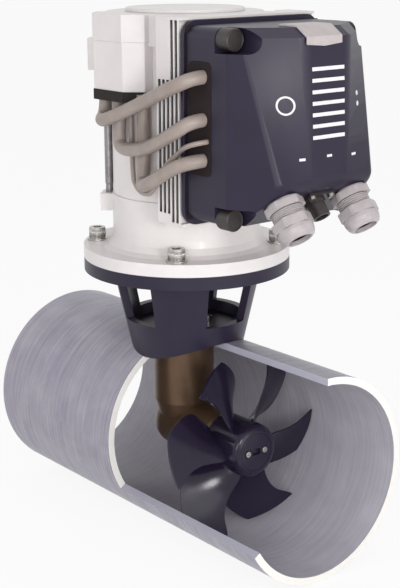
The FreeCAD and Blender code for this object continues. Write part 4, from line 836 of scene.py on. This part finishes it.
def knurlTree():
    # upright ribs in a circle round each point: the grip on a socket screw's head
    tree = bpy.data.node_groups.new("headKnurls", "GeometryNodeTree")
    given = addSockets(tree, {"Radius": "Float", "Rib": "Float", "Height": "Float",
                              "Ribs": "Int", "Material": "Material"})
    circle = addNode(tree, "GeometryNodeMeshCircle",
                     links={"Vertices": given["Ribs"], "Radius": given["Radius"]})
    rib = addNode(tree, "GeometryNodeMeshCylinder", {"Vertices": sides["rib"]},
                  {"Radius": given["Rib"], "Depth": given["Height"]})
    ribs = addNode(tree, "GeometryNodeInstanceOnPoints",
                   links={"Points": circle.outputs[0], "Instance": rib.outputs[0]})
    whole = addNode(tree, "GeometryNodeRealizeInstances", links={0: ribs.outputs[0]})
    heads = addNode(tree, "GeometryNodeInstanceOnPoints",
                    links={"Points": given["Geometry"], "Instance": whole.outputs[0]})
    closeTree(tree, heads.outputs[0], given["Material"])
    return tree


def repeatPiece(name, points, tree, values, material):
    # runs the tree on the points and keeps the result as a plain mesh
    mesh = bpy.data.meshes.new(name + "Points")
    mesh.from_pydata([Vector(point) * mm for point in points], [], [])
    source = bpy.data.objects.new(name + "Points", mesh)
    scene.collection.objects.link(source)
    repeat = source.modifiers.new("repeat", "NODES")
    repeat.node_group = tree
    values = {**values, "Material": material}
    for item in tree.interface.items_tree:
        if item.in_out == "INPUT" and item.name in values:
            repeat[item.identifier] = values[item.name]
    graph = bpy.context.evaluated_depsgraph_get()
    data = bpy.data.meshes.new_from_object(source.evaluated_get(graph))
    bpy.data.objects.remove(source)
    data.name = name
    addPiece(name, data, "housing", material)


glands = {"along": 37, "across": 40}   # their axes on the box's sloping face, mm


def onSlope(side, out):
    # a point on a gland's axis, so far out from the box's sloping face
    turn = math.radians(boxForm["slopeAngle"])
    x, z = boxForm["slopeStart"]
    along = glands["along"]
    return (x + along * math.cos(turn) + out * math.sin(turn), side * glands["across"],
            z + along * math.sin(turn) - out * math.cos(turn))


threads = {
    # the glands' M25 thread has a 1.5 mm pitch and the rods' M8 one 1.25 mm: both are drawn a
    # little coarser, so that they show at the photograph's size
    "gland": {"radius": 14.3, "crest": 0.68, "pitch": 1.9, "start": 9.3, "count": 5},
    "rod": {"radius": 3.55, "crest": 0.42, "pitch": 1.6, "start": 229, "count": 10, "at": 54},
}
knurls = {"radius": 7.85, "rib": 0.42, "height": 8.4, "ribs": 36, "at": 63.43, "middle": 199.6}


def makeRepeats():
    rings = ringTree()
    gland, rod = threads["gland"], threads["rod"]
    turn = (0, math.radians(180 - boxForm["slopeAngle"]), 0)
    places = [onSlope(side, gland["start"] + gland["pitch"] * i)
              for side in (-1, 1) for i in range(gland["count"])]
    repeatPiece("glandThreads", places, rings, {
        "Radius": gland["radius"] * mm, "Crest": gland["crest"] * mm, "Turn": turn},
        finish["greyGlandPolyamide"])
    places = [(a * rod["at"], b * rod["at"], rod["start"] + rod["pitch"] * i)
              for a in (-1, 1) for b in (-1, 1) for i in range(rod["count"])]
    repeatPiece("rodThreads", places, rings, {
        "Radius": rod["radius"] * mm, "Crest": rod["crest"] * mm, "Turn": (0.0, 0.0, 0.0)},
        finish["platedRodSteel"])
    places = [(a * knurls["at"], b * knurls["at"], knurls["middle"])
              for a in (-1, 1) for b in (-1, 1)]
    repeatPiece("headKnurls", places, knurlTree(), {
        "Radius": knurls["radius"] * mm, "Rib": knurls["rib"] * mm,
        "Height": knurls["height"] * mm, "Ribs": knurls["ribs"]},
        finish["stainlessScrewSteel"])


makeRepeats()
print("threads and knurls ready")
